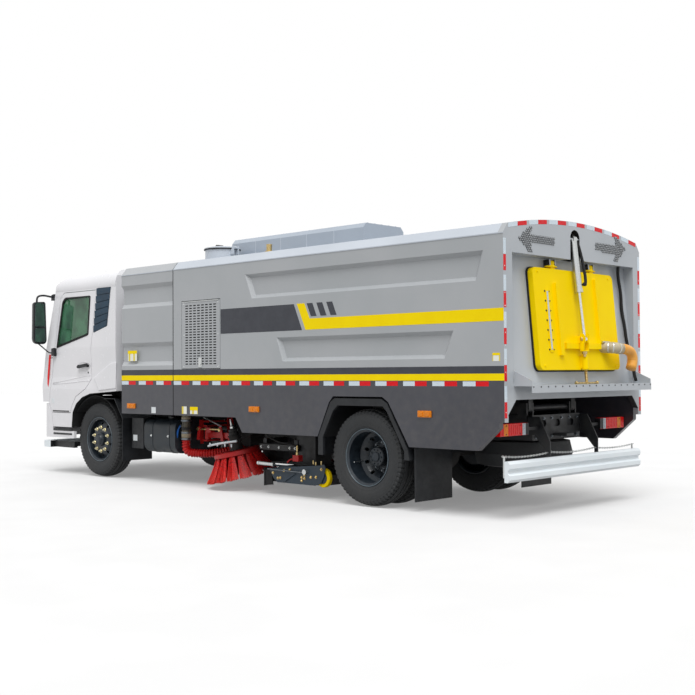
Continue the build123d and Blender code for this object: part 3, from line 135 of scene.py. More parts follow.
def start_material(name):
    """An empty material, and where a point of it is, in metres in the truck's own frame."""
    material = bpy.data.materials.new(name)
    material.use_nodes = True
    tree = material.node_tree
    tree.nodes.clear()
    return material, tree, add_node(tree, "TexCoord").outputs["Object"]


def sprayed_enamel(name, colour, shade, roughness=0.30, skirt=None, dust=0.15, gloss=0.5):
    """Two-pack enamel sprayed on sheet steel: an even satin gloss with a faint orange peel, and a film of
    road dust that thins out with height."""
    material, tree, where = start_material(name)
    height = add_node(tree, "SeparateXYZ", {"Vector": where}).outputs["Z"]
    clouds = add_node(tree, "TexNoise", {"Vector": where, "Scale": 1000 / 700, "Detail": 4.0})
    drift = add_node(tree, "MapRange", {"Value": clouds, "From Min": 0.35, "From Max": 0.65})
    paint = add_node(tree, "Mix", {"Factor": drift, "A": colour, "B": shade}, data_type="RGBA")
    if skirt:
        dark = add_node(tree, "Mix", {"Factor": drift, "A": skirt[0], "B": skirt[1]}, data_type="RGBA")
        above = add_node(tree, "MapRange", {"Value": height, "From Min": SKIRT_TOP_Z - 0.0005,
                                            "From Max": SKIRT_TOP_Z + 0.0005})
        paint = add_node(tree, "Mix", {"Factor": above, "A": dark, "B": paint}, data_type="RGBA")
    low_down = add_node(tree, "MapRange", {"Value": height, "From Min": 0.5, "From Max": 1.6,
                                           "To Min": dust, "To Max": 0.0})
    blotches = add_node(tree, "TexNoise", {"Vector": where, "Scale": 1000 / 90, "Detail": 6.0})
    settled = add_node(tree, "MapRange", {"Value": blotches, "From Min": 0.4, "From Max": 0.7})
    film = add_node(tree, "Math", {"Value": low_down}, operation="MULTIPLY")
    tree.links.new(settled.outputs[0], film.inputs[1])
    dusted = add_node(tree, "Mix", {"Factor": film, "A": paint, "B": "#7A746B"}, data_type="RGBA")
    wiped = add_node(tree, "TexNoise", {"Vector": where, "Scale": 1000 / 60, "Detail": 5.0})
    satin = add_node(tree, "MapRange", {"Value": wiped, "From Min": 0.3, "From Max": 0.7,
                                        "To Min": roughness - 0.02, "To Max": roughness + 0.04})
    # the real peel is 2 to 3 mm across; it is drawn at 16 mm so that it shows
    peel = add_node(tree, "TexNoise", {"Vector": where, "Scale": 1000 / 16, "Detail": 1.0})
    relief = add_node(tree, "Bump", {"Height": peel, "Distance": 0.012 * MM, "Strength": 1.0})
    shader = add_node(tree, "BsdfPrincipled", {"Base Color": dusted, "Roughness": satin, "Normal": relief,
                                               "IOR": 1.5, "Specular IOR Level": gloss,
                                               "Coat Weight": 0.3 * gloss, "Coat Roughness": 0.12})
    add_node(tree, "OutputMaterial", {"Surface": shader})
    return material


def vulcanised_rubber(name):
    """Carbon-black tyre rubber, vulcanised in a steel mould: grey-black and matt, drier in small random
    patches, with a fine grain on its surface."""
    material, tree, where = start_material(name)
    clouds = add_node(tree, "TexNoise", {"Vector": where, "Scale": 1000 / 260, "Detail": 3.0})
    drift = add_node(tree, "MapRange", {"Value": clouds, "From Min": 0.35, "From Max": 0.65})
    rubber = add_node(tree, "Mix", {"Factor": drift, "A": "#292B2D", "B": "#2F3031"}, data_type="RGBA")
    specks = add_node(tree, "TexNoise", {"Vector": where, "Scale": 1000 / 14, "Detail": 4.0})
    dry = add_node(tree, "MapRange", {"Value": specks, "From Min": 0.3, "From Max": 0.7,
                                      "To Min": 0.62, "To Max": 0.78})
    grain = add_node(tree, "TexNoise", {"Vector": where, "Scale": 1000 / 4, "Detail": 3.0})
    relief = add_node(tree, "Bump", {"Height": grain, "Distance": 0.35 * MM, "Strength": 1.0})
    shader = add_node(tree, "BsdfPrincipled", {"Base Color": rubber, "Roughness": dry, "Normal": relief,
                                               "IOR": 1.52, "Specular IOR Level": 0.4})
    add_node(tree, "OutputMaterial", {"Surface": shader})
    return material


def moulded_plastic(name, colour, shade, roughness=0.5, grain_mm=3.0, gloss=0.35):
    """Moulded polypropylene, extruded rubber or calendered vinyl: an even colour with the tool's fine
    leather grain, which breaks up its reflections."""
    material, tree, where = start_material(name)
    clouds = add_node(tree, "TexNoise", {"Vector": where, "Scale": 1000 / 120, "Detail": 4.0})
    drift = add_node(tree, "MapRange", {"Value": clouds, "From Min": 0.35, "From Max": 0.65})
    plastic = add_node(tree, "Mix", {"Factor": drift, "A": colour, "B": shade}, data_type="RGBA")
    rubbed = add_node(tree, "TexNoise", {"Vector": where, "Scale": 1000 / 40, "Detail": 4.0})
    satin = add_node(tree, "MapRange", {"Value": rubbed, "From Min": 0.3, "From Max": 0.7,
                                        "To Min": roughness - 0.06, "To Max": roughness + 0.1})
    grain = add_node(tree, "TexNoise", {"Vector": where, "Scale": 1000 / grain_mm, "Detail": 2.0})
    relief = add_node(tree, "Bump", {"Height": grain, "Distance": 0.15 * MM, "Strength": 1.0})
    shader = add_node(tree, "BsdfPrincipled", {"Base Color": plastic, "Roughness": satin, "Normal": relief,
                                               "IOR": 1.46, "Specular IOR Level": gloss})
    add_node(tree, "OutputMaterial", {"Surface": shader})
    return material


def chassis_paint(name, colour="#1B1D20", shade="#2E2E2D", roughness=0.42):
    """Air-dried chassis paint brushed on rolled or cast steel: semi-gloss black under a thin grey film of
    road dust that dulls it in patches."""
    material, tree, where = start_material(name)
    blotches = add_node(tree, "TexNoise", {"Vector": where, "Scale": 1000 / 80, "Detail": 6.0})
    dusty = add_node(tree, "MapRange", {"Value": blotches, "From Min": 0.42, "From Max": 0.78})
    paint = add_node(tree, "Mix", {"Factor": dusty, "A": colour, "B": shade}, data_type="RGBA")
    dull = add_node(tree, "MapRange", {"Value": dusty, "To Min": roughness, "To Max": roughness + 0.3})
    brushed = add_node(tree, "TexNoise", {"Vector": where, "Scale": 1000 / 12, "Detail": 3.0})
    relief = add_node(tree, "Bump", {"Height": brushed, "Distance": 0.3 * MM, "Strength": 1.0})
    shader = add_node(tree, "BsdfPrincipled", {"Base Color": paint, "Roughness": dull, "Normal": relief,
                                               "IOR": 1.5, "Specular IOR Level": 0.4})
    add_node(tree, "OutputMaterial", {"Surface": shader})
    return material


def drawn_metal(name, colour, shade, roughness, scratch_mm=15.0):
    """Drawn or rolled steel, plated or ground bright: fine marks of the die blur its reflections."""
    material, tree, where = start_material(name)
    marks = add_node(tree, "TexNoise", {"Vector": where, "Scale": 1000 / scratch_mm, "Detail": 5.0})
    drift = add_node(tree, "MapRange", {"Value": marks, "From Min": 0.35, "From Max": 0.65})
    bright = add_node(tree, "Mix", {"Factor": drift, "A": colour, "B": shade}, data_type="RGBA")
    blur = add_node(tree, "MapRange", {"Value": marks, "From Min": 0.3, "From Max": 0.7,
                                       "To Min": roughness - 0.08, "To Max": roughness + 0.08})
    shader = add_node(tree, "BsdfPrincipled", {"Base Color": bright, "Roughness": blur, "Metallic": 1.0})
    add_node(tree, "OutputMaterial", {"Surface": shader})
    return material


def tempered_glass(name, colour, smear):
    """Tempered float glass with a green tint: you see into the dark cab through sharp reflections, and a
    wiper's smears show as slightly greyer bands."""
    material, tree, where = start_material(name)
    bands = add_node(tree, "TexNoise", {"Vector": where, "Scale": 1000 / 240, "Detail": 4.0})
    smeared = add_node(tree, "MapRange", {"Value": bands, "From Min": 0.4, "From Max": 0.7})
    tint = add_node(tree, "Mix", {"Factor": smeared, "A": colour, "B": smear}, data_type="RGBA")
    shader = add_node(tree, "BsdfPrincipled", {"Base Color": tint, "IOR": 1.5, "Roughness": 0.03,
                                               "Transmission Weight": 0.62})
    add_node(tree, "OutputMaterial", {"Surface": shader})
    return material


def moulded_acrylic(name, colour, shade, lit=0.0):
    """Injection-moulded acrylic lens: a deep clear colour over a field of small prisms that sparkle."""
    material, tree, where = start_material(name)
    prisms = add_node(tree, "TexVoronoi", {"Vector": where, "Scale": 1000 / 9.0})
    facet = add_node(tree, "MapRange", {"Value": prisms.outputs["Distance"], "From Min": 0.1,
                                        "From Max": 0.6})
    lens = add_node(tree, "Mix", {"Factor": facet, "A": colour, "B": shade}, data_type="RGBA")
    relief = add_node(tree, "Bump", {"Height": prisms.outputs["Distance"], "Distance": 0.7 * MM,
                                     "Strength": 1.0})
    shader = add_node(tree, "BsdfPrincipled", {"Base Color": lens, "Normal": relief, "IOR": 1.49,
                                               "Roughness": 0.15, "Specular IOR Level": 0.35,
                                               "Emission Color": colour, "Emission Strength": lit})
    add_node(tree, "OutputMaterial", {"Surface": shader})
    return material


def prismatic_tape(name, colour, shade):
    """Marking tape embossed with tiny glass-clear prisms: a honeycomb of cells under a glossy film."""
    material, tree, where = start_material(name)
    cells = add_node(tree, "TexVoronoi", {"Vector": where, "Scale": 1000 / 6.0}, feature="DISTANCE_TO_EDGE")
    inside_cell = add_node(tree, "MapRange", {"Value": cells, "From Min": 0.02, "From Max": 0.12})
    tape = add_node(tree, "Mix", {"Factor": inside_cell, "A": shade, "B": colour}, data_type="RGBA")
    relief = add_node(tree, "Bump", {"Height": cells, "Distance": 0.2 * MM, "Strength": 1.0})
    shader = add_node(tree, "BsdfPrincipled", {"Base Color": tape, "Normal": relief, "IOR": 1.5,
                                               "Roughness": 0.3, "Specular IOR Level": 0.25})
    add_node(tree, "OutputMaterial", {"Surface": shader})
    return material


def extruded_bristle(name):
    """Extruded polypropylene brush wire: saturated red in streaks, paler where the tips have worn."""
    material, tree, where = start_material(name)
    height = add_node(tree, "SeparateXYZ", {"Vector": where}).outputs["Z"]
    worn = add_node(tree, "MapRange", {"Value": height, "From Min": 0.06, "From Max": 0.26,
                                       "To Min": 0.5, "To Max": 0.0})
    streaks = add_node(tree, "TexNoise", {"Vector": where, "Scale": 1000 / 14, "Detail": 4.0})
    strands = add_node(tree, "MapRange", {"Value": streaks, "From Min": 0.4, "From Max": 0.6})
    wire = add_node(tree, "Mix", {"Factor": strands, "A": "#E0201C", "B": "#8E1212"}, data_type="RGBA")
    tips = add_node(tree, "Mix", {"Factor": worn, "A": wire, "B": "#E8483A"}, data_type="RGBA")
    shader = add_node(tree, "BsdfPrincipled", {"Base Color": tips, "IOR": 1.49, "Roughness": 0.45,
                                               "Specular IOR Level": 0.3})
    add_node(tree, "OutputMaterial", {"Surface": shader})
    return material


def printed_vinyl(name, ground, band, width_mm):
    """Calendered vinyl printed in one plain band: a smooth film with a slightly raised, glossier ink."""
    material, tree, where = start_material(name)
    bands = add_node(tree, "TexWave", {"Vector": where, "Scale": 1000 / width_mm}, bands_direction="X")
    inked = add_node(tree, "MapRange", {"Value": bands.outputs["Fac"], "From Min": 0.69, "From Max": 0.71})
    film = add_node(tree, "Mix", {"Factor": inked, "A": ground, "B": band}, data_type="RGBA")
    gloss = add_node(tree, "MapRange", {"Value": inked, "To Min": 0.4, "To Max": 0.28})
    shader = add_node(tree, "BsdfPrincipled", {"Base Color": film, "Roughness": gloss, "IOR": 1.5,
                                               "Specular IOR Level": 0.3})
    add_node(tree, "OutputMaterial", {"Surface": shader})
    return material


def woven_polyester(name):
    """Woven polyester seat cloth: charcoal, with a soft sheen at its edges."""
    material, tree, where = start_material(name)
    # the real threads are 1 mm apart; they are drawn 8 mm apart so that they show
    weave = add_node(tree, "TexWave", {"Vector": where, "Scale": 1000 / 8.0, "Distortion": 1.5})
    threads = add_node(tree, "Mix", {"Factor": weave.outputs["Fac"], "A": "#33363C", "B": "#22242A"},
                       data_type="RGBA")
    relief = add_node(tree, "Bump", {"Height": weave.outputs["Fac"], "Distance": 0.4 * MM, "Strength": 1.0})
    shader = add_node(tree, "BsdfPrincipled", {"Base Color": threads, "Normal": relief, "Roughness": 0.9,
                                               "Sheen Weight": 0.3})
    add_node(tree, "OutputMaterial", {"Surface": shader})
    return material


BODY_GREY = ("#ABAEB1", "#A5A9AC")
body_enamel = sprayed_enamel("sprayed_enamel_body_grey", *BODY_GREY, skirt=("#3A3B43", "#34353D"))
panel_enamel = sprayed_enamel("sprayed_enamel_panel_grey", *BODY_GREY)
# the tail, roof and cowl are in the body's grey paint; these copies are toned as painted light, for how light
# falls on the rear face and on the top
tail_grey_painted_light = sprayed_enamel("body_grey_painted_light_tail", "#B4B9BE", "#ABB1B7")
roof_grey_painted_light = sprayed_enamel("body_grey_painted_light_roof", "#BFC6CF", "#B9C0C9")
cowl_grey_painted_light = sprayed_enamel("body_grey_painted_light_cowl", "#A2ACB8", "#9CA6B2")
cab_enamel = sprayed_enamel("sprayed_enamel_cab_white", "#E8E7EA", "#E3E3E6", roughness=0.24, dust=0.05)
yellow_enamel = sprayed_enamel("sprayed_enamel_yellow", "#FFDD00", "#FBD600", roughness=0.42,
                               dust=0.02, gloss=0.05)
red_enamel = sprayed_enamel("sprayed_enamel_red", "#C8181A", "#A81416", roughness=0.4, dust=0.1, gloss=0.3)
white_enamel = sprayed_enamel("sprayed_enamel_white", "#ECF3F7", "#E6EEF3", roughness=0.34, dust=0.02)
dark_film = moulded_plastic("calendered_vinyl_dark_grey", "#3F4148", "#393B42", 0.4, 12)
yellow_film = moulded_plastic("calendered_vinyl_yellow", "#FFE100", "#FCDC00", 0.45, 12, 0.12)
white_film = moulded_plastic("calendered_vinyl_white", "#E4E9EB", "#DADFE2", 0.4, 12)
notice_film = printed_vinyl("printed_vinyl_notice", "#EEF0E6", "#E8D24E", 320.0)
red_tape = prismatic_tape("embossed_prismatic_tape_red", "#EA0A1A", "#C00612")
white_tape = prismatic_tape("embossed_prismatic_tape_white", "#DCE8F1", "#C4D2DE")
black_paint = chassis_paint("brushed_chassis_paint_black")
wheel_paint = chassis_paint("sprayed_wheel_paint_black", "#1E252C", "#2C343B", 0.28)
# a paler blue-grey copy of the wheel paint: a painted highlight along the rims' edges
rim_highlight_paint = chassis_paint("wheel_paint_painted_highlight", "#5E6A72", "#4A545B", 0.3)
cast_iron = chassis_paint("painted_cast_iron", "#222223", "#383634", 0.6)
steel_tank = chassis_paint("sprayed_tank_paint_dark", "#1A2228", "#2B3339", 0.36)
slate_paint = chassis_paint("sprayed_chassis_paint_slate", "#22303C", "#2F3B46", 0.4)
# black for the underbody coating in the front wheel arch, and painted shade in the slots and under the tail
shade_and_underbody_black = chassis_paint("underbody_coating_and_painted_shade_black", "#0E0F10", "#18191A", 0.7)
lining_plastic = moulded_plastic("moulded_polyethylene_black", "#101112", "#17181A", 0.6)
black_plastic = moulded_plastic("moulded_polypropylene_black", "#1B1D20", "#25272A", 0.45)
gloss_plastic = moulded_plastic("moulded_ABS_gloss_black", "#15181B", "#1B1E22", 0.2, 6.0)
louvre_plastic = moulded_plastic("moulded_ABS_blue_black", "#1C3B50", "#163144", 0.4)
soft_rubber = moulded_plastic("extruded_EPDM_rubber_black", "#151516", "#1E1E1F", 0.7)
seat_plastic = moulded_plastic("moulded_polycarbonate_grey", "#636669", "#57595C", 0.45)
red_film = moulded_plastic("calendered_vinyl_red", "#F0080E", "#E4060C", 0.4, 12, 0.15)
galvanised_pipe = chassis_paint("weathered_galvanised_pipe", "#BDB298", "#9E927A", 0.5)
trim_silver = drawn_metal("polished_stainless_flange", "#E6DFC2", "#CFC6A4", 0.3)
blue_plastic = moulded_plastic("dipped_vinyl_blue", "#1769C4", "#145CAE", 0.35)
red_hose = moulded_plastic("corrugated_PVC_hose_red", "#D0201E", "#B01A1A", 0.35)
orange_hose = moulded_plastic("moulded_rubber_elbow_orange", "#F0B054", "#E29E42", 0.4)
tyre = vulcanised_rubber("vulcanised_tyre_rubber")
zinc = drawn_metal("zinc_plated_drawn_steel", "#CDCFCE", "#B9BCBC", 0.34)
dull_steel = drawn_metal("oiled_drawn_steel", "#7E8388", "#63686D", 0.42)
brass_zinc = drawn_metal("yellow_passivated_turned_steel", "#D2BC88", "#AE9664", 0.35)
chrome = drawn_metal("hard_chromed_ground_steel", "#DCDEDF", "#CACDCF", 0.14)
mirror_glass = drawn_metal("silvered_float_glass", "#9FAAB0", "#8C979E", 0.1, 160.0)
window_glass = tempered_glass("tempered_float_glass", "#5FA078", "#37634A")
amber_lens = moulded_acrylic("moulded_acrylic_amber", "#F08A00", "#C87000", 0.1)
red_lens = moulded_acrylic("moulded_acrylic_red", "#E01010", "#A20A0A", 0.2)
clear_lens = moulded_acrylic("moulded_acrylic_clear", "#DDE6EB", "#B4BFC7")
lamp_bead = moulded_acrylic("moulded_epoxy_lamp_bead", "#B4B7BA", "#9A9DA0")
cloth = woven_polyester("woven_polyester_charcoal")
bristles = extruded_bristle("extruded_polypropylene_wire_red")


# ---- painting the construction model -----------------------------------------------------------

def paint(node, *finishes):
    """Gives a construction piece its finishes; each test takes a face's middle and normal."""
    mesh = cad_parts[node].data
    mesh.materials.clear()
    for finish, _ in finishes:
        mesh.materials.append(finish)
    for face in mesh.polygons:
        face.material_index = next(i for i, (_, test) in enumerate(finishes)
                                   if test(face.center, face.normal))


def everywhere(point, normal):
    """All of a piece's faces."""
    return True


def paint_all(finish, *nodes):
    """Gives whole pieces one finish."""
    for node in nodes:
        paint(node, (finish, everywhere))


ARCH_R = 0.66                  # the front wheel arch
GRILLE_X = -2369               # the grille doors' middle, in millimetres ahead of the front axle
BRUSH_X, BRUSH_Y = -2560, 0.85  # the side brushes' middle, millimetres ahead and metres out
SPARE = middle("spare_wheel")


def in_front_arch(point, normal):
    """Faces of the cab that look down into the front wheel arch or at the road."""
    near = hypot(point.x - FRONT_AXLE_X, point.z - AXLE_Z) < ARCH_R and abs(normal.y) < 0.5
    return near or normal.z < -0.9 and point.z < 1.2


def in_cab(point, normal):
    """Faces of the cab shell that look into the cab."""
    return abs(point.y) < 1.10 and normal.y * point.y < -0.2


def painted_shade_in_slots(point, normal):
    """The walls of the grille doors' slots, painted dark as painted shade."""
    return abs(normal.y) < 0.5 and normal.z < 0.5 and abs(point.x - ahead(GRILLE_X)) < 0.345


def painted_shade_under_tail(point, normal):
    """The underside of the tail, painted black as painted shade."""
    return point.z < 1.14 and abs(point.y) < 1.16 and normal.x > -0.7


def hinge_lug(point, normal):
    """The rear door's hinge lugs under the crown."""
    return 2.405 < point.z < 2.48 and abs(abs(point.y) - 0.354) < 0.07 and abs(normal.y) > 0.1


def painted_shade_in_cylinder_slot(point, normal):
    """The slot in the crown where the door's cylinder is pinned; its walls are painted dark as painted shade.
    """
    outside = normal.x <= -0.7 and point.x <= BODY_REAR_X + 0.04
    return abs(point.y - 0.03) < 0.09 and 2.47 < point.z < 2.81 and not outside


def outer_side(point, normal):
    """The tail's outer sides, painted in one with the body's."""
    return abs(point.y) > 1.2 and abs(normal.y) > 0.7


def on_cowl(point, normal):
    """The raised cowl along the roof."""
    return point.z > 2.872 and abs(point.y) < 0.40


def round_spare(point, normal):
    """The spare wheel's rim, inside its tyre."""
    return hypot(point.x - SPARE.x, point.y - SPARE.y) < 0.3


def at_brush_motor(point, normal):
    """The end of a brush arm where its motor stands."""
    return hypot(point.x - ahead(BRUSH_X), abs(point.y) - BRUSH_Y) < 0.10


def wash_bar_arms(point, normal):
    """The arms behind the front wash bar."""
    return point.x < ahead(1100)


def lamp_ends(point, normal):
    """The lenses at both ends of the tail lamps' carrier."""
    return abs(point.y) > 0.70


paint_all(body_enamel, "body_side_left", "body_side_right", "front_module")
# the tail's underside and the walls of the cylinder's slot are painted black as painted shade
paint("rear_frame", (shade_and_underbody_black, painted_shade_under_tail), (black_paint, hinge_lug), (shade_and_underbody_black, painted_shade_in_cylinder_slot),
      (body_enamel, outer_side), (tail_grey_painted_light, everywhere))
# the roof, cowl and hatch lid take the toned copies of the body grey: painted light on the top
paint("body_roof", (cowl_grey_painted_light, on_cowl), (roof_grey_painted_light, everywhere))
paint_all(roof_grey_painted_light, "hatch_lid")
paint_all(yellow_enamel, "rear_door", "caster_left", "caster_right")
paint_all(soft_rubber, "door_seal")
paint_all(zinc, "door_barrel", "knuckle_left", "knuckle_right")
paint_all(chrome, "door_rod")
paint("cab_shell", (shade_and_underbody_black, in_front_arch), (black_plastic, in_cab), (cab_enamel, everywhere))
paint_all(cab_enamel, "cab_door_left", "cab_door_right", "front_bumper")
paint_all(window_glass, "windscreen", "door_glass_left", "door_glass_right")
paint_all(black_plastic, "front_mudguards", "rear_mudguards", "side_lockers", "dashboard", "mirrors")
paint_all(louvre_plastic, "cab_grilles")
paint_all(cloth, "seats")
paint_all(black_paint, "frame_rails", "leaf_springs", "drive_shaft", "body_floor", "nozzle")
paint_all(cast_iron, "front_axle", "rear_axle", "engine_block", "water_pump")
paint_all(steel_tank, "fuel_tank")
paint_all(white_enamel, "underrun_bar")
paint_all(red_enamel, "brush_brackets")
paint_all(red_hose, "side_hose")
paint_all(clear_lens, "headlamps")
paint_all(wheel_paint, "front_rim_left", "front_rim_right", "rear_rims_left", "rear_rims_right")
paint_all(tyre, "front_tyre_left", "front_tyre_right", "rear_tyres_left", "rear_tyres_right")
paint_all(bristles, "brush_left", "brush_right")
paint("front_wash_bar", (black_paint, wash_bar_arms), (white_enamel, everywhere))
paint("spare_wheel", (wheel_paint, round_spare), (tyre, everywhere))
paint("tail_lamps", (red_lens, lamp_ends), (black_paint, everywhere))
for _, word in SIDES:
    # the slots' walls are painted black as painted shade
    paint(f"grille_door_{word}", (shade_and_underbody_black, painted_shade_in_slots), (panel_enamel, everywhere))
    paint(f"brush_arm_{word}", (cast_iron, at_brush_motor), (red_enamel, everywhere))


# ---- making pieces -----------------------------------------------------------------------------

def finish_piece(name, maker, finish, body, smooth=False, bevel_mm=0.0):
    """Turns a built mesh into a piece with its finish, riding on a body."""
    mesh = bpy.data.meshes.new(name)
    bmesh.ops.recalc_face_normals(maker, faces=maker.faces)
    maker.to_mesh(mesh)
    maker.free()
    mesh.materials.append(finish)
    piece = bpy.data.objects.new(name, mesh)
    bpy.context.scene.collection.objects.link(piece)
    if smooth:
        mesh.shade_smooth()
    if bevel_mm:
        edge = piece.modifiers.new("eased_edges", "BEVEL")
        edge.width = bevel_mm * MM
        edge.segments = 2
        edge.limit_method = "ANGLE"
    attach(piece, body)
    return piece


def prism(maker, outline, lift, thickness, base=0.0):
    """A flat plate from a base depth on: lift turns an outline point and a depth into a place in the
    truck's frame."""
    rings = [[maker.verts.new(lift(u, v, base + depth)) for u, v in outline] for depth in (0.0, thickness)]
    maker.faces.new(rings[0])
    maker.faces.new(rings[1][::-1])
    join_rings(maker, rings)


def join_rings(maker, rings, closed=False):
    """Skins rings of the same number of points, one after another."""
    pairs = list(zip(rings, rings[1:])) + ([(rings[-1], rings[0])] if closed else [])
    for ring, following in pairs:
        for i in range(len(ring)):
            j = (i + 1) % len(ring)
            maker.faces.new((ring[i], following[i], following[j], ring[j]))


def across(direction):
    """Two directions square to a third and to each other."""
    along = Vector(direction).normalized()
    helper = Vector((0, 0, 1)) if abs(along.z) < 0.9 else Vector((1, 0, 0))
    first = along.cross(helper).normalized()
    return first, along.cross(first).normalized()


def lathe(maker, profile, centre, axis, steps=24):
    """Turns a profile of (radius, height along the axis) round an axis through centre."""
    centre, along = Vector(centre), Vector(axis).normalized()
    first, second = across(along)
    rings = []
    for radius, height in profile:
        rings.append([maker.verts.new(centre + along * height + radius * (cos(a) * first + sin(a) * second))
                      for a in (2 * pi * k / steps for k in range(steps))])
    join_rings(maker, rings)
    maker.faces.new(rings[0])
    maker.faces.new(rings[-1][::-1])


def hoop(maker, profile, centre, axis, steps=72):
    """Turns a closed profile of (radius, height along the axis) into a ring that is open in the middle."""
    centre, along = Vector(centre), Vector(axis).normalized()
    first, second = across(along)
    rings = []
    for a in (2 * pi * k / steps for k in range(steps)):
        outward = cos(a) * first + sin(a) * second
        rings.append([maker.verts.new(centre + along * height + radius * outward)
                      for radius, height in profile])
    join_rings(maker, rings, closed=True)


def tube(maker, points, radius, sides=10):
    """A round bar along points; radius is one number or one for each point."""
    points = [Vector(p) for p in points]
    radii = radius if isinstance(radius, (list, tuple)) else [radius] * len(points)
    first, _ = across(points[1] - points[0])
    rings = []
    for i, spot in enumerate(points):
        along = (points[min(i + 1, len(points) - 1)] - points[max(i - 1, 0)]).normalized()
        first = (first - along * first.dot(along)).normalized()
        second = along.cross(first)
        rings.append([maker.verts.new(spot + radii[i] * (cos(a) * first + sin(a) * second))
                      for a in (2 * pi * k / sides for k in range(sides))])
    join_rings(maker, rings)
    maker.faces.new(rings[0])
    maker.faces.new(rings[-1][::-1])


def eased(before, corner, after, reach, steps):
    """Points that round off a corner, from so far before it to as far after it."""
    start = corner + (before - corner).normalized() * reach
    end = corner + (after - corner).normalized() * reach
    return [(1 - t) ** 2 * start + 2 * t * (1 - t) * corner + t * t * end
            for t in (k / steps for k in range(steps + 1))]


def bent(points, radius, steps=8):
    """The same points in a line with each corner rounded off."""
    points = [Vector(p) for p in points]
    line = [points[0]]
    for before, corner, after in zip(points, points[1:], points[2:]):
        reach = min(radius, 0.49 * (corner - before).length, 0.49 * (after - corner).length)
        line += eased(before, corner, after, reach, steps)
    return line + [points[-1]]


def rounded(outline, ease, steps=5):
    """The same closed outline with its corners rounded off."""
    corners = [Vector((*point, 0)) for point in outline]
    line = []
    for before, corner, after in zip(corners[-1:] + corners, corners, corners[1:] + corners[:1]):
        line += [(spot.x, spot.y) for spot in eased(before, corner, after, ease, steps)]
    return line


def evenly(points, step):
    """Points a fixed distance apart along a line."""
    line, left = [points[0].copy()], step
    for a, b in zip(points, points[1:]):
        span_length, done = (b - a).length, 0.0
        while span_length - done >= left:
            done += left
            line.append(a + (b - a) * (done / span_length))
            left = step
        left -= span_length - done
    return line


def block(maker, low, high):
    """A rectangular block between two corners."""
    outline = ((low[0], low[1]), (high[0], low[1]), (high[0], high[1]), (low[0], high[1]))
    prism(maker, outline, lambda x, y, height: (x, y, height), high[2] - low[2], low[2])


def side_block(maker, side, stations, reach, height):
    """A block on one side, from station to station in millimetres, so far out and so high."""
    near, far = sorted(side * y for y in reach)
    block(maker, (ahead(stations[0]), near, height[0]), (ahead(stations[1]), far, height[1]))


def chain_link(maker, centre, along, turn, reach, wire):
    """One oval link: half its length lies along the chain and half its width across."""
    tube(maker, [centre + along * (reach[0] * cos(a)) + turn * (reach[1] * sin(a))
                 for a in (2 * pi * k / 10 for k in range(11))], wire, 5)


def bolt(maker, centre, axis, size):
    """A hexagon head on a washer, standing on a face; size is the head's width in metres."""
    lathe(maker, ((size * 0.75, 0.0), (size * 0.75, size * 0.12)), centre, axis, 16)
    lathe(maker, ((size * 0.5, size * 0.12), (size * 0.5, size * 0.55), (size * 0.4, size * 0.66)),
          centre, axis, 6)


def bolt_ring(maker, centre, side, count, radius, out, size):
    """Bolts evenly round a hub that faces out to one side."""
    for k in range(count):
        angle = 2 * pi * k / count
        spot = centre + Vector((radius * cos(angle), side * out, radius * sin(angle)))
        bolt(maker, spot, (0, side, 0), size)


def screws(maker, places, axis, radius, height, steps=10):
    """Small domed heads."""
    for place in places:
        lathe(maker, ((radius, 0.0), (radius - 0.002, height)), place, axis, steps)


def on_side(side, y=None):
    """Places an (x, z) outline on the body's side wall, its depth pointing outward."""
    wall = SIDE_Y if y is None else y
    return lambda x, z, depth: (x, side * (wall + depth), z)


def on_tail(x=None):
    """Places a (y, z) outline on the tail's rear face, its depth pointing backward."""
    face = BODY_REAR_X if x is None else x
    return lambda y, z, depth: (face - depth, y, z)


def strip(x0, x1, z0, z1):
    """The outline of an upright rectangle."""
    return ((x0, z0), (x1, z0), (x1, z1), (x0, z1))


# ---- bands and marking tape on the sides -------------------------------------------------------

DARK_LINE_Z = (1.365, 1.435)
YELLOW_LINE_Z = (1.300, 1.365)
TAPE_Z = (1.247, 1.293)
TAPE_LENGTH = 0.150
TAPE_GAP = 0.072               # bare paint between one pair of tapes and the next
TAPE_START, TAPE_JOINT = 0.004, 0.002
WALL_RUNS = (("chassis", MODULE_FRONT_X, MODULE_REAR_X), ("tipping_body", BODY_FRONT_X, BODY_REAR_X))
BAND_Z = (1.847, 2.135)
BAND_LEAN = 0.45               # how far a slanted band end leans back for each metre down
WIDE_STRIPE_Z = (1.849, 1.969)


def leaning_block(front_x, length, low_z, high_z):
    """A four-sided block whose ends lean like the dark band's."""
    lean = (high_z - low_z) * BAND_LEAN
    return ((front_x, high_z), (front_x - length, high_z), (front_x - length - lean, low_z),
            (front_x - lean, low_z))


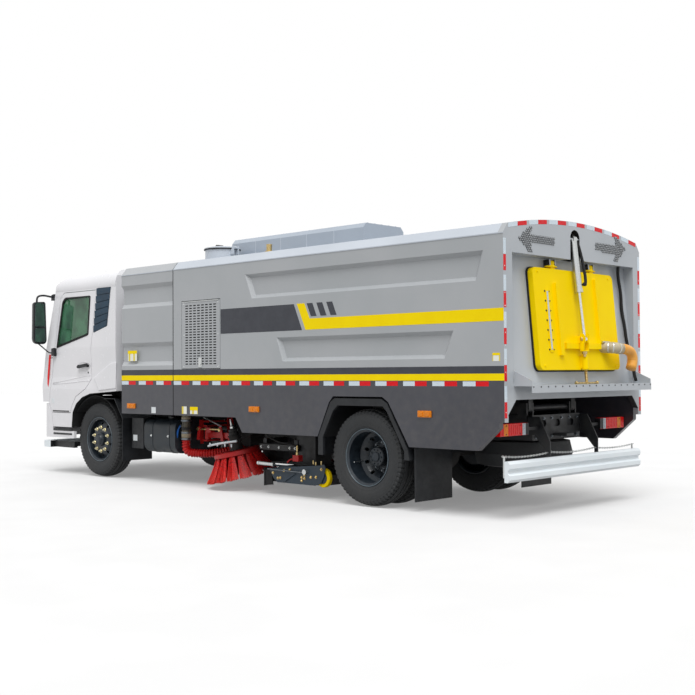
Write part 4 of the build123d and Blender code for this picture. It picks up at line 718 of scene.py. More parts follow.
def side_bands(side, word):
    """The long bands, the marking tape and the slanted band with its yellow stripe."""
    for body, front, rear in WALL_RUNS:
        for label, finish, (low, high) in (("dark_line", dark_film, DARK_LINE_Z),
                                           ("yellow_line", yellow_film, YELLOW_LINE_Z)):
            maker = bmesh.new()
            prism(maker, strip(rear, front, low, high), on_side(side), FILM)
            finish_piece(f"{label}_{body}_{word}", maker, finish, body)
        for colour, finish in enumerate((white_tape, red_tape)):
            maker = bmesh.new()
            x = front - TAPE_START - colour * (TAPE_LENGTH + TAPE_JOINT)
            while x - TAPE_LENGTH > rear:
                prism(maker, strip(x - TAPE_LENGTH, x, *TAPE_Z), on_side(side), FILM)
                x -= 2 * TAPE_LENGTH + TAPE_GAP
            finish_piece(f"marking_tape_{colour}_{body}_{word}", maker, finish, body)
    maker = bmesh.new()
    prism(maker, ((ahead(-2745), BAND_Z[1]), (ahead(-3992), BAND_Z[1]), (ahead(-4121), BAND_Z[0]),
                  (ahead(-2745), BAND_Z[0])), on_side(side), FILM)
    for step in range(3):
        block_outline = leaning_block(ahead(-4195) - 0.1495 * step, 0.088, 1.992, BAND_Z[1])
        prism(maker, block_outline, on_side(side), FILM)
    finish_piece(f"dark_band_{word}", maker, dark_film, "tipping_body")
    maker = bmesh.new()
    low, high = WIDE_STRIPE_Z
    prism(maker, ((ahead(-4040), 2.137), (ahead(-4158), 2.137), (ahead(-4240), high), (BODY_REAR_X, high),
                  (BODY_REAR_X, low), (ahead(-4175), low)), on_side(side), FILM)
    finish_piece(f"wide_yellow_stripe_{word}", maker, yellow_film, "tipping_body")


for side, word in SIDES:
    side_bands(side, word)


# ---- tyres, wheels -----------------------------------------------------------------------------

TYRE_R = 0.506
BLOCKS = 60                    # tread blocks round each shoulder
BLOCK_STEPS = 5                # steps round the tyre for each block, the last two of them its notch
# Section of the tyre, outboard offset and radius in metres; the tread is made between its ends.
SIDEWALL = ((0.094, 0.281), (0.094, 0.299), (0.113, 0.3), (0.122, 0.311), (0.125, 0.322), (0.1285, 0.325),
            (0.131, 0.345), (0.1365, 0.37), (0.1375, 0.395), (0.1355, 0.425), (0.1325, 0.437), (0.1325, 0.446))
SHOULDER = ((0.129, 0.456), (0.124, 0.470), (0.1205, 0.4795))
TREAD_OFFSETS = (0.112, 0.100, 0.086, 0.085, 0.0845, 0.0735, 0.073, 0.072, 0.050, 0.031, 0.030, 0.0295,
                 0.0185, 0.018, 0.017)
GROOVES = ((0.0725, 0.0855), (0.0175, 0.0305))
GROOVE_DEPTH = 0.013
NOTCH_DEPTH = 0.011
NOTCH_START = 0.085            # offset from which the notches run out to the shoulder


def in_notch(step):
    """Whether a step round the tyre falls in a shoulder notch."""
    return step % BLOCK_STEPS in (3, 4)


def tread_radius(offset, step):
    """Radius of the tread at an offset: ribs, round grooves, and notches cut in from the shoulder."""
    radius = TYRE_R - 0.028 * (offset / 0.1215) ** 2
    if any(low < abs(offset) < high for low, high in GROOVES):
        return radius - GROOVE_DEPTH
    if abs(offset) > NOTCH_START and in_notch(step):
        return radius - NOTCH_DEPTH
    return radius


def tyre_mesh(maker, centre, side):
    """One tyre on the Y axis through centre, its serial side facing outboard."""
    steps = BLOCKS * BLOCK_STEPS
    rings = []
    for step in range(steps):
        angle = 2 * pi * step / steps
        section = []
        for offset, radius in SIDEWALL + SHOULDER:
            if in_notch(step) and radius > 0.45:
                radius, offset = radius - 0.006, offset - 0.004
            section.append((offset, radius))
        section += [(o, tread_radius(o, step)) for o in TREAD_OFFSETS]
        section += [(-o, r) for o, r in reversed(section)]
        rings.append([maker.verts.new((centre.x + radius * cos(angle), centre.y + side * offset,
                                       centre.z + radius * sin(angle))) for offset, radius in section])
    join_rings(maker, rings, closed=True)


def wheel_nuts(maker, centre, side, face, pitch, count=10):
    """Flanged wheel nuts on their studs, evenly round the wheel."""
    for k in range(count):
        angle = 2 * pi * (k + 0.5) / count
        spot = centre + Vector((pitch * cos(angle), side * face, pitch * sin(angle)))
        axis = (0, side, 0)
        lathe(maker, ((0.024, 0.0), (0.024, 0.005)), spot, axis, 18)
        lathe(maker, ((0.0185, 0.005), (0.0185, 0.022), (0.015, 0.025)), spot, axis, 6)
        lathe(maker, ((0.011, 0.025), (0.011, 0.034), (0.008, 0.036)), spot, axis, 10)


def rim_edge(maker, profile, centre, side, out):
    """A ring at a rim's edge, so far out from the tyre's middle."""
    hoop(maker, profile, centre + Vector((0, side * out, 0)), (0, side, 0))


def front_wheel(side, word):
    """Tyre, nuts, hub cap and a pale ring on the rim's edge, a painted highlight, of a front wheel."""
    body = f"front_wheel_{word}"
    centre = middle(f"front_tyre_{word}")
    maker = bmesh.new()
    tyre_mesh(maker, centre, side)
    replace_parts(finish_piece(f"treaded_front_tyre_{word}", maker, tyre, body), f"front_tyre_{word}")
    maker = bmesh.new()
    wheel_nuts(maker, centre, side, 0.090, 0.160)
    finish_piece(f"front_wheel_nuts_{word}", maker, trim_silver, body)
    maker = bmesh.new()
    hub = centre + Vector((0, side * 0.112, 0))
    lathe(maker, ((0.088, 0.0), (0.088, 0.008), (0.074, 0.012), (0.060, 0.030), (0.046, 0.038), (0.010, 0.041)),
          hub, (0, side, 0), 40)
    bolt_ring(maker, hub, side, 6, 0.066, 0.018, 0.014)
    rim_edge(maker, ((0.299, -0.006), (0.299, 0.002), (0.292, 0.0025), (0.288, -0.002)), centre, side, 0.114)
    finish_piece(f"front_hub_cap_{word}", maker, wheel_paint, body, bevel_mm=0.6)
    maker = bmesh.new()
    # a paler ring on the rim's edge: a painted highlight
    rim_edge(maker, ((0.290, 0.0), (0.2925, 0.004), (0.2965, 0.004), (0.299, 0.0)), centre, side, 0.1165)
    finish_piece(f"front_rim_painted_highlight_{word}", maker, rim_highlight_paint, body)


def rear_wheels(side, word):
    """Twin tyres, nuts, hub cap, a pale ring on the rim's edge as a painted highlight, and the valve of a pair
    of rear wheels.
    """
    body = f"rear_wheels_{word}"
    low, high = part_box(f"rear_tyres_{word}")
    inboard_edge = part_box(f"front_tyre_{word}")[0 if side > 0 else 1].y
    half_width = (middle(f"front_tyre_{word}").y - inboard_edge) * side
    outer = Vector((REAR_AXLE_X, side * (max(abs(low.y), abs(high.y)) - half_width), AXLE_Z))
    inner = Vector((REAR_AXLE_X, side * (min(abs(low.y), abs(high.y)) + half_width), AXLE_Z))
    maker = bmesh.new()
    tyre_mesh(maker, outer, side)
    tyre_mesh(maker, inner, -side)
    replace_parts(finish_piece(f"treaded_rear_tyres_{word}", maker, tyre, body), f"rear_tyres_{word}")
    maker = bmesh.new()
    wheel_nuts(maker, outer, side, -0.145, 0.147)
    finish_piece(f"rear_wheel_nuts_{word}", maker, dull_steel, body)
    maker = bmesh.new()
    cap = Vector((REAR_AXLE_X, side * (abs(inner.y) + 0.285), AXLE_Z))
    lathe(maker, ((0.098, 0.0), (0.098, 0.010), (0.090, 0.014), (0.052, 0.016), (0.050, 0.030), (0.036, 0.036),
                  (0.006, 0.038)), cap, (0, side, 0), 40)
    bolt_ring(maker, cap, side, 10, 0.074, 0.014, 0.017)
    finish_piece(f"rear_hub_cap_{word}", maker, wheel_paint, body, bevel_mm=0.6)
    maker = bmesh.new()
    # a paler ring on the rim's edge: a painted highlight
    rim_edge(maker, ((0.288, 0.0), (0.2915, 0.005), (0.2965, 0.005), (0.299, 0.0)), outer, side, 0.1165)
    finish_piece(f"rear_rim_painted_highlight_{word}", maker, rim_highlight_paint, body)
    maker = bmesh.new()
    stem = outer + Vector((0.235, side * 0.02, -0.06))
    tube(maker, [stem + Vector((0, side * -0.10, 0)), stem, stem + Vector((-0.012, side * 0.05, 0))], 0.005)
    finish_piece(f"valve_stem_{word}", maker, zinc, body)


for side, word in SIDES:
    front_wheel(side, word)
    rear_wheels(side, word)


# ---- marking tape and arrow lights on the tail -------------------------------------------------

CREST_Y, CREST_Z, CROWN_Z = 1.176, 2.757, 2.868
CROWN_R = (CREST_Y ** 2 + (CROWN_Z - CREST_Z) ** 2) / (2 * (CROWN_Z - CREST_Z))


def crown_at(y):
    """Height of the crowned roof edge at a distance from the middle."""
    return CROWN_Z - CROWN_R + sqrt(CROWN_R ** 2 - y ** 2)


TAIL_TAPE_STEP = 0.340         # from one white tape to the next
TAIL_TAPE_LENGTH = 0.148
TAIL_TAPE_TOP = 2.612


def tail_tape():
    """White and red tape along the crown and down both corners, with its rivets."""
    for colour, finish in enumerate((white_tape, red_tape)):
        maker = bmesh.new()
        start = 1.166 - colour * 0.150
        while start > -1.05:
            ys = [start - TAIL_TAPE_LENGTH * k / 6 for k in range(7)]
            upper, lower = ([(y, crown_at(y) - down) for y in ys] for down in (0.002, 0.043))
            prism(maker, upper + lower[::-1], on_tail(), FILM)
            start -= TAIL_TAPE_STEP
        for side in (-1, 1):
            top = TAIL_TAPE_TOP - colour * 0.150
            while top > 1.10:
                prism(maker, strip(side * 1.208, side * 1.248, top - TAIL_TAPE_LENGTH, top), on_tail(), FILM)
                top -= TAIL_TAPE_STEP
        finish_piece(f"tail_marking_tape_{colour}", maker, finish, "tipping_body")
    maker = bmesh.new()
    screws(maker, [(BODY_REAR_X - FILM, side * 1.228, TAIL_TAPE_TOP - TAIL_TAPE_STEP * step * 0.72 - down)
                   for step in range(7) for down in (0.012, 0.135) for side in (-1, 1)],
           (-1, 0, 0), 0.006, 0.003, 8)
    finish_piece("tail_tape_rivets", maker, zinc, "tipping_body")


def inside(outline, u, v):
    """Whether a point lies inside a closed outline."""
    hit = False
    for (u0, v0), (u1, v1) in zip(outline, outline[1:] + outline[:1]):
        if (v0 > v) != (v1 > v) and u < u0 + (v - v0) / (v1 - v0) * (u1 - u0):
            hit = not hit
    return hit


BEAD_PITCH = 0.021
# Outlines of the two arrows, across and up the tail.
ARROWS = (
    ("left", [(1.003, 2.632), (0.834, 2.511), (0.770, 2.511), (0.812, 2.603), (0.400, 2.603), (0.400, 2.680),
              (0.812, 2.680), (0.750, 2.759), (0.820, 2.761)]),
    ("right", [(-0.957, 2.677), (-0.783, 2.533), (-0.719, 2.533), (-0.766, 2.611), (-0.345, 2.618),
               (-0.345, 2.700), (-0.766, 2.695), (-0.722, 2.786), (-0.789, 2.786)]),
)


def arrow_lights():
    """Direction arrows: rows of small lamp beads set straight into the tail panel, every other row
    shifted by half a bead."""
    for word, outline in ARROWS:
        beads, seats = bmesh.new(), bmesh.new()
        for row in range(16):
            z = 2.505 + row * BEAD_PITCH * 0.88
            for column in range(72):
                y = -1.02 + (column + 0.5 * (row % 2)) * BEAD_PITCH * 1.4
                if inside(outline, y, z):
                    spot = (BODY_REAR_X, y, z)
                    lathe(seats, ((0.0125, 0.0), (0.0125, 0.003), (0.0100, 0.005)), spot, (-1, 0, 0), 8)
                    lathe(beads, ((0.0085, 0.003), (0.0080, 0.007), (0.0055, 0.010), (0.001, 0.0115)), spot,
                          (-1, 0, 0), 8)
        finish_piece(f"arrow_beads_{word}", beads, lamp_bead, "tipping_body", smooth=True)
        finish_piece(f"arrow_seats_{word}", seats, seat_plastic, "tipping_body")


tail_tape()
arrow_lights()


# ---- rear door fittings ------------------------------------------------------------------------

DOOR_MIDDLE = Vector((ahead(-6720), 0, 1.8835))
DOOR_OUT = Vector((-0.9959, 0, 0.0903))
DOOR_UP = Vector((0.0903, 0, 0.9959))
DOOR_FACE = 0.073              # how far the leaf's face stands out from the recess wall
DOOR_HINGE_Y = (0.364, -0.343)
DOOR_HINGE_OUT = 0.045


def on_door(y, up, out=0.0):
    """A place on the leaning rear door: across, up the leaf and out from the recess wall."""
    return DOOR_MIDDLE + Vector((0, y, 0)) + DOOR_UP * up + DOOR_OUT * out


def on_leaf(y, up, depth):
    """Places an outline on the leaf's face, its depth pointing outward."""
    return on_door(y, up, DOOR_FACE + depth)


def level_gauge():
    """A tall sight glass in a bolted frame."""
    maker = bmesh.new()
    prism(maker, strip(0.492, 0.548, -0.325, 0.292), on_leaf, 0.006)
    finish_piece("gauge_frame", maker, yellow_enamel, "rear_door", bevel_mm=1.5)
    maker = bmesh.new()
    prism(maker, strip(0.508, 0.532, -0.300, 0.268), on_leaf, 0.003, 0.006)
    finish_piece("level_gauge", maker, clear_lens, "rear_door", bevel_mm=0.8)
    maker = bmesh.new()
    for k in range(7):
        for y in (0.484, 0.556):
            bolt(maker, on_leaf(y, -0.300 + 0.0947 * k, 0), DOOR_OUT, 0.013)
    finish_piece("gauge_bolts", maker, black_paint, "rear_door")
    maker = bmesh.new()
    for y in (0.655, -0.64):
        for up in (-0.455, 0.455):
            bolt(maker, on_leaf(y, up, 0), DOOR_OUT, 0.016)
    finish_piece("leaf_bolts", maker, yellow_enamel, "rear_door")


def hinge_flanges():
    """Two thin oval discs under each hinge eye, and a small gusset on either side of it."""
    maker = bmesh.new()
    turns = [2 * pi * k / 32 for k in range(32)]
    for y in DOOR_HINGE_Y:
        for up, wide, deep in ((0.514, 0.100, 0.036), (0.524, 0.050, 0.034)):
            prism(maker, [(y + wide * cos(a), DOOR_HINGE_OUT + deep * sin(a)) for a in turns],
                  lambda along, out, depth: on_door(along, depth, out), 0.010, up)
        for far, near in ((y - 0.056, y - 0.022), (y + 0.056, y + 0.022)):
            prism(maker, ((far, 0.534), (near, 0.534), (near, 0.552)), on_door, 0.016, DOOR_HINGE_OUT - 0.008)
    finish_piece("hinge_flanges", maker, yellow_enamel, "rear_door", bevel_mm=1.5)


def waste_outlet():
    """A pipe and an elbow of soft hose, clipped to the leaf."""
    sleeve = bent(run(1, (-6790, -0.385, 1.628), (-6930, -0.450, 1.620), (-6948, -0.560, 1.610)), 0.06)
    elbow = bent(run(1, (-6946, -0.540, 1.612), (-6950, -0.660, 1.606), (-6952, -0.748, 1.578),
                     (-6952, -0.786, 1.520), (-6951, -0.778, 1.460), (-6950, -0.748, 1.404)), 0.05, 5)
    maker = bmesh.new()
    tube(maker, elbow, 0.053, 24)
    finish_piece("drain_elbow", maker, orange_hose, "rear_door", smooth=True)
    maker = bmesh.new()
    tube(maker, sleeve, 0.056, 24)
    finish_piece("drain_sleeve", maker, galvanised_pipe, "rear_door", smooth=True)
    maker = bmesh.new()
    for share in (0.10, 0.42, 0.98):
        i = int(share * (len(sleeve) - 1))
        along = (sleeve[min(len(sleeve) - 1, i + 1)] - sleeve[max(0, i - 1)]).normalized()
        lathe(maker, ((0.0565, -0.006), (0.059, -0.005), (0.059, 0.005), (0.0565, 0.006)),
              sleeve[i], along, 28)
    block(maker, (ahead(-6868), -0.475, 1.672), (ahead(-6850), -0.345, 1.686))
    finish_piece("drain_elbow_clips", maker, zinc, "rear_door", bevel_mm=1)


def clamp_screw():
    """A sleeve on the leaf, the cylinder's yoke, a ridged screw and a T handle below."""
    maker = bmesh.new()
    foot = Vector((ahead(-6785) - 0.075, 0.0, 1.54))
    down = Vector((-0.09, 0, -1)).normalized()
    lathe(maker, ((0.034, 0.0), (0.034, 0.14), (0.030, 0.145)), foot, down, 20)
    block(maker, (foot.x - 0.02, -0.03, 1.41), (foot.x + 0.09, 0.03, 1.53))
    finish_piece("clamp_screw_sleeve", maker, yellow_enamel, "rear_door", bevel_mm=2)
    maker = bmesh.new()
    for y in (-0.019, 0.071):
        block(maker, (ahead(-6905), y, 1.590), (ahead(-6862), y + 0.008, 1.752))
    block(maker, (ahead(-6905), -0.019, 1.578), (ahead(-6862), 0.079, 1.590))
    finish_piece("rod_yoke", maker, yellow_enamel, "rear_door", bevel_mm=1.5)
    maker = bmesh.new()
    lathe(maker, ((0.026, 0.0), (0.026, 0.024), (0.020, 0.028)), (ahead(-6880), 0.030, 1.552), (0, 0, 1), 6)
    lathe(maker, ((0.016, 0.0), (0.016, 0.030)), (ahead(-6880), 0.030, 1.525), (0, 0, 1), 16)
    for y, way in ((-0.019, -1), (0.079, 1)):
        lathe(maker, ((0.017, 0.0), (0.017, 0.008), (0.012, 0.012)),
              (ahead(-6880), y, 1.700), (0, way, 0), 16)
    finish_piece("yoke_nut_and_pin_heads", maker, brass_zinc, "rear_door")
    maker = bmesh.new()
    ridges = [0.014 + 0.0022 * (k % 2) for k in range(64)]
    tube(maker, [foot + down * (0.13 + 0.17 * k / 63) for k in range(64)], ridges, 12)
    tee = foot + down * 0.275
    tube(maker, [tee + Vector((0, 0.19, 0)), tee + Vector((0, -0.19, 0))], 0.010, 12)
    for y in (0.19, -0.19):
        lathe(maker, ((0.014, -0.014), (0.019, -0.006), (0.019, 0.006), (0.014, 0.014)),
              tee + Vector((0, y, 0)), (0, 1, 0), 14)
    finish_piece("clamp_screw", maker, brass_zinc, "rear_door")


def tail_hoses():
    """A hydraulic hose on the door's cylinder, another down the tail, and the rivets of the shelf."""
    maker = bmesh.new()
    line = run(1, (-6742, 0.020, 2.752), (-6775, -0.030, 2.680), (-6812, -0.058, 2.500),
               (-6845, -0.060, 2.320), (-6856, -0.044, 2.255), (-6850, -0.006, 2.242))
    tube(maker, bent(line, 0.08), 0.015, 12)
    lathe(maker, ((0.019, -0.012), (0.019, 0.012)), (ahead(-6854), -0.030, 2.248), (0.1, 1, 0), 12)
    finish_piece("barrel_hoses", maker, soft_rubber, "rear_door_barrel", smooth=True)
    maker = bmesh.new()
    sway = [(ahead(-6712) - 0.15 * (k / 16) ** 2.2 + 0.006 * sin(k * 1.3),
             -0.930 - 0.10 * k / 16 + 0.007 * sin(k * 0.9), 2.505 - 1.23 * k / 16) for k in range(17)]
    tube(maker, bent(sway, 0.05, 3), 0.017, 12)
    finish_piece("tail_hydraulic_hoses", maker, soft_rubber, "tipping_body", smooth=True)
    maker = bmesh.new()
    screws(maker, [(ahead(-6990), 1.08 - 0.12 * k, 1.240) for k in range(19)], (-1, 0, 0), 0.008, 0.004)
    finish_piece("shelf_rivets", maker, black_paint, "tipping_body")


level_gauge()
hinge_flanges()
waste_outlet()
clamp_screw()
tail_hoses()


# ---- cab trim ----------------------------------------------------------------------------------

CAB_SIDE = ((0.600, 1.200), (1.180, 1.200), (1.350, 1.188), (1.750, 1.190), (2.545, 1.150), (2.712, 1.108))
DOOR_WINDOW = ((0.138, 2.450), (0.760, 2.450), (0.820, 2.400), (0.925, 1.762), (0.150, 1.925))
VENT_FRONT_X, VENT_REAR_X, VENT_TOP_Z = -0.025, -0.345, 2.548
VENT_SLATS = 6


def cab_wall_y(z):
    """How far out the cab's side stands at a height."""
    for (z0, y0), (z1, y1) in zip(CAB_SIDE, CAB_SIDE[1:]):
        if z <= z1:
            return y0 + (y1 - y0) * (z - z0) / (z1 - z0)
    return CAB_SIDE[-1][1]


def on_cab(side):
    """Places an outline, in metres ahead of the front axle and up, on the cab's side wall."""
    return lambda x, z, depth: (FRONT_AXLE_X + x, side * (cab_wall_y(z) + depth), z)


def frame_round(maker, outline, inward, outward, lift, base, thickness, ease=0.03):
    """A raised frame along a closed outline, its corners rounded."""
    centre = Vector([sum(point[i] for point in outline) / len(outline) for i in (0, 1)] + [0])
    spots = [Vector((*point, 0)) for point in rounded(outline, ease, 4)]
    rings = []
    for shift, depth in ((-inward, base), (-inward, base + thickness), (outward, base + thickness),
                         (outward, base)):
        moved = [spot + (spot - centre).normalized() * shift for spot in spots]
        rings.append([maker.verts.new(lift(spot.x, spot.y, depth)) for spot in moved])
    join_rings(maker, rings, closed=True)


def door_trim(side, word):
    """Window rubber, handle, pressings and seal of a cab door."""
    door = f"cab_door_{word}"
    wall = on_cab(side)
    maker = bmesh.new()
    frame_round(maker, DOOR_WINDOW, 0.020, 0.012, wall, -0.004, 0.009)
    # teeth of the inner seal along the window's lower edge
    for k in range(26):
        u = 0.17 + 0.029 * k
        if u < 0.90:
            z = 1.925 - (u - 0.15) * 0.2103 + 0.006
            tooth = ((u, z), (u + 0.015, z - 0.003), (u + 0.015, z + 0.012), (u, z + 0.015))
            prism(maker, tooth, wall, 0.008)
    finish_piece(f"window_rubber_{word}", maker, soft_rubber, door)
    maker = bmesh.new()
    prism(maker, ((0.105, 1.522), (0.122, 1.534), (0.338, 1.508), (0.356, 1.492), (0.350, 1.470),
                  (0.330, 1.466), (0.122, 1.490), (0.108, 1.498)), wall, 0.022, 0.022)
    for u in (0.115, 0.325):
        prism(maker, strip(u, u + 0.028, 1.482, 1.515), wall, 0.030)
    lathe(maker, ((0.013, 0.0), (0.013, 0.004), (0.009, 0.005)), wall(0.135, 1.408, 0), (0, side, 0), 18)
    finish_piece(f"door_handle_{word}", maker, black_plastic, door, bevel_mm=3)
    maker = bmesh.new()
    ring = [(0.23 + 0.145 * cos(a), 1.500 + 0.052 * sin(a)) for a in (2 * pi * k / 40 for k in range(40))]
    frame_round(maker, ring, 0.004, 0.004, wall, -0.001, 0.003, 0.004)
    # two long pressed swages that climb towards the rear edge
    for swage in (((1.02, 1.262), (0.70, 1.300), (0.35, 1.345), (0.09, 1.372)),
                  ((1.02, 1.250), (0.70, 1.262), (0.35, 1.285), (0.09, 1.300))):
        tube(maker, bent([wall(u, z, 0.0) for u, z in swage], 0.1), 0.0045, 8)
    finish_piece(f"door_pressings_{word}", maker, cab_enamel, door, smooth=True)
    maker = bmesh.new()
    prism(maker, strip(0.595, 1.010, 0.868, 0.882), wall, 0.004)
    for u in (1.035, 1.062):
        for z in (1.62, 1.70):
            bolt(maker, wall(u, z, 0.0), (0, side, 0), 0.010)
    finish_piece(f"door_lower_seal_{word}", maker, soft_rubber, door)


def quarter_trim(side, word):
    """Vent slats behind the cab door, the mirror's foot, the rear quarter's pressing and a blank plate."""
    wall = on_cab(side)
    maker = bmesh.new()
    for k in range(VENT_SLATS):
        (rear_0, front_0), (rear_1, front_1) = [
            ((VENT_REAR_X + 0.048 * t, VENT_TOP_Z + (2.026 - VENT_TOP_Z) * t),
             (VENT_FRONT_X + 0.045 * t, VENT_TOP_Z + (1.945 - VENT_TOP_Z) * t))
            for t in ((k + 0.06) / VENT_SLATS, (k + 0.92) / VENT_SLATS)]
        outline = (rear_0, front_0, front_1, rear_1)
        low = [maker.verts.new(wall(u, z, 0.004)) for u, z in outline]
        high = [maker.verts.new(wall(u, z, 0.014 if i < 2 else 0.005)) for i, (u, z) in enumerate(outline)]
        join_rings(maker, [low, high])
        maker.faces.new(high)
        maker.faces.new(low[::-1])
    finish_piece(f"vent_slats_{word}", maker, louvre_plastic, "cab", bevel_mm=1.2)
    maker = bmesh.new()
    prism(maker, ((0.925, 1.640), (0.998, 1.648), (1.000, 1.752), (0.930, 1.758)), wall, 0.045, 0.004)
    finish_piece(f"mirror_foot_{word}", maker, black_plastic, "cab", bevel_mm=8)
    # raised pressing of the rear quarter, its top edge climbing backward
    maker = bmesh.new()
    prism(maker, ((-0.012, 1.335), (-0.384, 1.520), (-0.536, 1.545), (-0.536, 1.195), (-0.149, 1.166),
                  (-0.080, 1.253)), wall, 0.017, -0.004)
    finish_piece(f"quarter_pressing_{word}", maker, cab_enamel, "cab", bevel_mm=9)
    maker = bmesh.new()
    prism(maker, ((0.972, 0.985), (1.042, 0.985), (1.048, 1.048), (0.980, 1.048)), wall, 0.0015)
    finish_piece(f"door_blank_plate_{word}", maker, white_film, f"cab_door_{word}")


def arch_liner(side, word):
    """Black moulded liner over the front wheel, with a deep inner wall that hides the frame, and an
    apron under the cab."""
    turns = [radians(38 + 112 * k / 16) for k in range(17)]

    def arc(radius, angles):
        return [(FRONT_AXLE_X + radius * cos(a), AXLE_Z + radius * sin(a)) for a in angles]

    maker = bmesh.new()
    prism(maker, arc(0.590, turns) + arc(0.583, turns[::-1]), on_side(side, 0.545), 0.610)
    prism(maker, arc(0.588, turns), on_side(side, 0.540), 0.006)
    finish_piece(f"arch_liner_{word}", maker, lining_plastic, "chassis")
    maker = bmesh.new()
    apron = ((-560, 1.190), (700, 1.190), (700, 1.098), (50, 1.098), (-150, 1.084), (-300, 1.022),
             (-420, 0.930), (-560, 0.840))
    prism(maker, [(ahead(x), z) for x, z in apron], on_side(side, 0.86), 0.020)
    finish_piece(f"cab_underside_apron_{word}", maker, lining_plastic, "cab")


def on_nose(y, z, depth):
    """Places an outline on the leaning, slightly bowed front of the cab, its depth pointing forward."""
    lean = 1.350 + (1.120 - 1.350) * (z - 1.690) / 0.93
    bow = 0.060 * min(1.0, (abs(y) / 0.96) ** 2)
    return (FRONT_AXLE_X + lean - bow + depth, y, z)


def cab_front_trim():
    """Red corner bands, wipers, windscreen rubber, a blank plate and the treads of the steps."""
    maker = bmesh.new()
    for side in (-1, 1):
        rings = []
        for k in range(10):
            z = 1.134 + 0.532 * k / 9
            centre_x = FRONT_AXLE_X + 1.3985 - (z - 1.23) * 0.13 - 0.265
            ring = [(r, 0.50 + 1.07 * t / 6) for r, turns in ((0.2085, range(7)), (0.2050, range(6, -1, -1)))
                    for t in turns]
            rings.append([maker.verts.new((centre_x + r * cos(a), side * (0.990 + r * sin(a)), z))
                          for r, a in ring])
        join_rings(maker, rings)
        maker.faces.new(rings[0])
        maker.faces.new(rings[-1][::-1])
    finish_piece("corner_red_bands", maker, red_film, "cab")
    maker = bmesh.new()
    for y in (0.52, -0.12):
        arm = run(1, (1352, y, 1.700), (1338, y - 0.10, 1.80), (1290, y - 0.42, 1.98))
        blade = run(1, (1327, y - 0.08, 1.79), (1300, y - 0.30, 1.93), (1262, y - 0.62, 2.10))
        tube(maker, bent(arm, 0.1), 0.009, 8)
        tube(maker, blade, 0.012, 6)
        lathe(maker, ((0.022, 0.0), (0.022, 0.03), (0.012, 0.036)), (ahead(1335), y, 1.700), (1, 0, 0.12), 16)
    finish_piece("wipers", maker, black_plastic, "cab")
    maker = bmesh.new()
    screen = ((-0.900, 1.735), (0.900, 1.735), (1.010, 1.800), (0.960, 2.480), (0.890, 2.550), (-0.890, 2.550),
              (-0.960, 2.480), (-1.010, 1.800))
    frame_round(maker, screen, 0.018, 0.012, on_nose, -0.012, 0.022, 0.05)
    finish_piece("windscreen_rubber", maker, soft_rubber, "cab")
    maker = bmesh.new()
    prism(maker, strip(-0.26, 0.26, 0.60, 0.72), lambda y, z, depth: (ahead(1376) + depth, y, z), 0.003)
    finish_piece("front_blank_plate", maker, white_film, "chassis", bevel_mm=1)
    maker = bmesh.new()
    for side in (-1, 1):
        for z in (0.615, 0.560):
            prism(maker, strip(ahead(520), ahead(990), z - 0.012, z + 0.012), on_side(side, 1.196), 0.010)
        side_block(maker, side, (560, 1000), (1.04, 1.19), (0.655, 0.672))
    finish_piece("step_treads", maker, black_plastic, "chassis", bevel_mm=2)


MIRROR_BACK_X = 1064           # the glass side, which faces back


def door_mirrors():
    """Two domed mirror heads on bent tube arms, each with a tall flat glass over a small wide-angle one."""
    heads, arms, glasses = bmesh.new(), bmesh.new(), bmesh.new()
    for side in (-1, 1):
        head = rounded([(1.268, 1.850), (1.300, 1.812), (1.440, 1.812), (1.468, 1.860), (1.462, 2.400),
                        (1.290, 2.412)], 0.030)
        rings = [[heads.verts.new((ahead(x), side * (1.368 + (y - 1.368) * share),
                                   2.112 + (z - 2.112) * (1 - (1 - share) * 0.5))) for y, z in head]
                 for x, share in ((MIRROR_BACK_X, 0.90), (1058, 0.97), (1066, 1.0), (1100, 1.0), (1135, 0.94),
                                  (1158, 0.80), (1170, 0.52))]
        join_rings(heads, rings)
        heads.faces.new(rings[0])
        heads.faces.new(rings[-1][::-1])
        for low, high in ((1.842, 2.035), (2.060, 2.392)):
            glass = rounded([(1.286, low), (1.452, low), (1.448, high), (1.298, high)], 0.022)
            prism(glasses, [(side * y, z) for y, z in glass], on_tail(ahead(MIRROR_BACK_X - 1)), 0.003)
        arm = run(side, (1100, 1.405, 2.390), (1098, 1.400, 2.485), (1100, 1.300, 2.505), (1085, 1.130, 2.478))
        tube(arms, bent(arm, 0.10), 0.0135, 14)
        foot = run(side, (1110, 1.395, 1.835), (1110, 1.300, 1.765), (1090, 1.215, 1.690), (1000, 1.200, 1.690))
        tube(arms, bent(foot, 0.05), 0.009, 12)
        corner = rounded([(1040, 2.435), (1118, 2.435), (1112, 2.515), (1048, 2.525)], 0.012)
        prism(arms, [(ahead(x), z) for x, z in corner], on_side(side, 1.120), 0.046)
    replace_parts(finish_piece("mirror_heads", heads, gloss_plastic, "cab", smooth=True), "mirrors")
    finish_piece("mirror_arms", arms, black_plastic, "cab", bevel_mm=3)
    finish_piece("mirror_glasses", glasses, mirror_glass, "cab", bevel_mm=1)


for side, word in SIDES:
    door_trim(side, word)
    quarter_trim(side, word)
    arch_liner(side, word)
cab_front_trim()
door_mirrors()


# ---- side walls of the module and body ---------------------------------------------------------

MARKER_WIDTH = 0.166


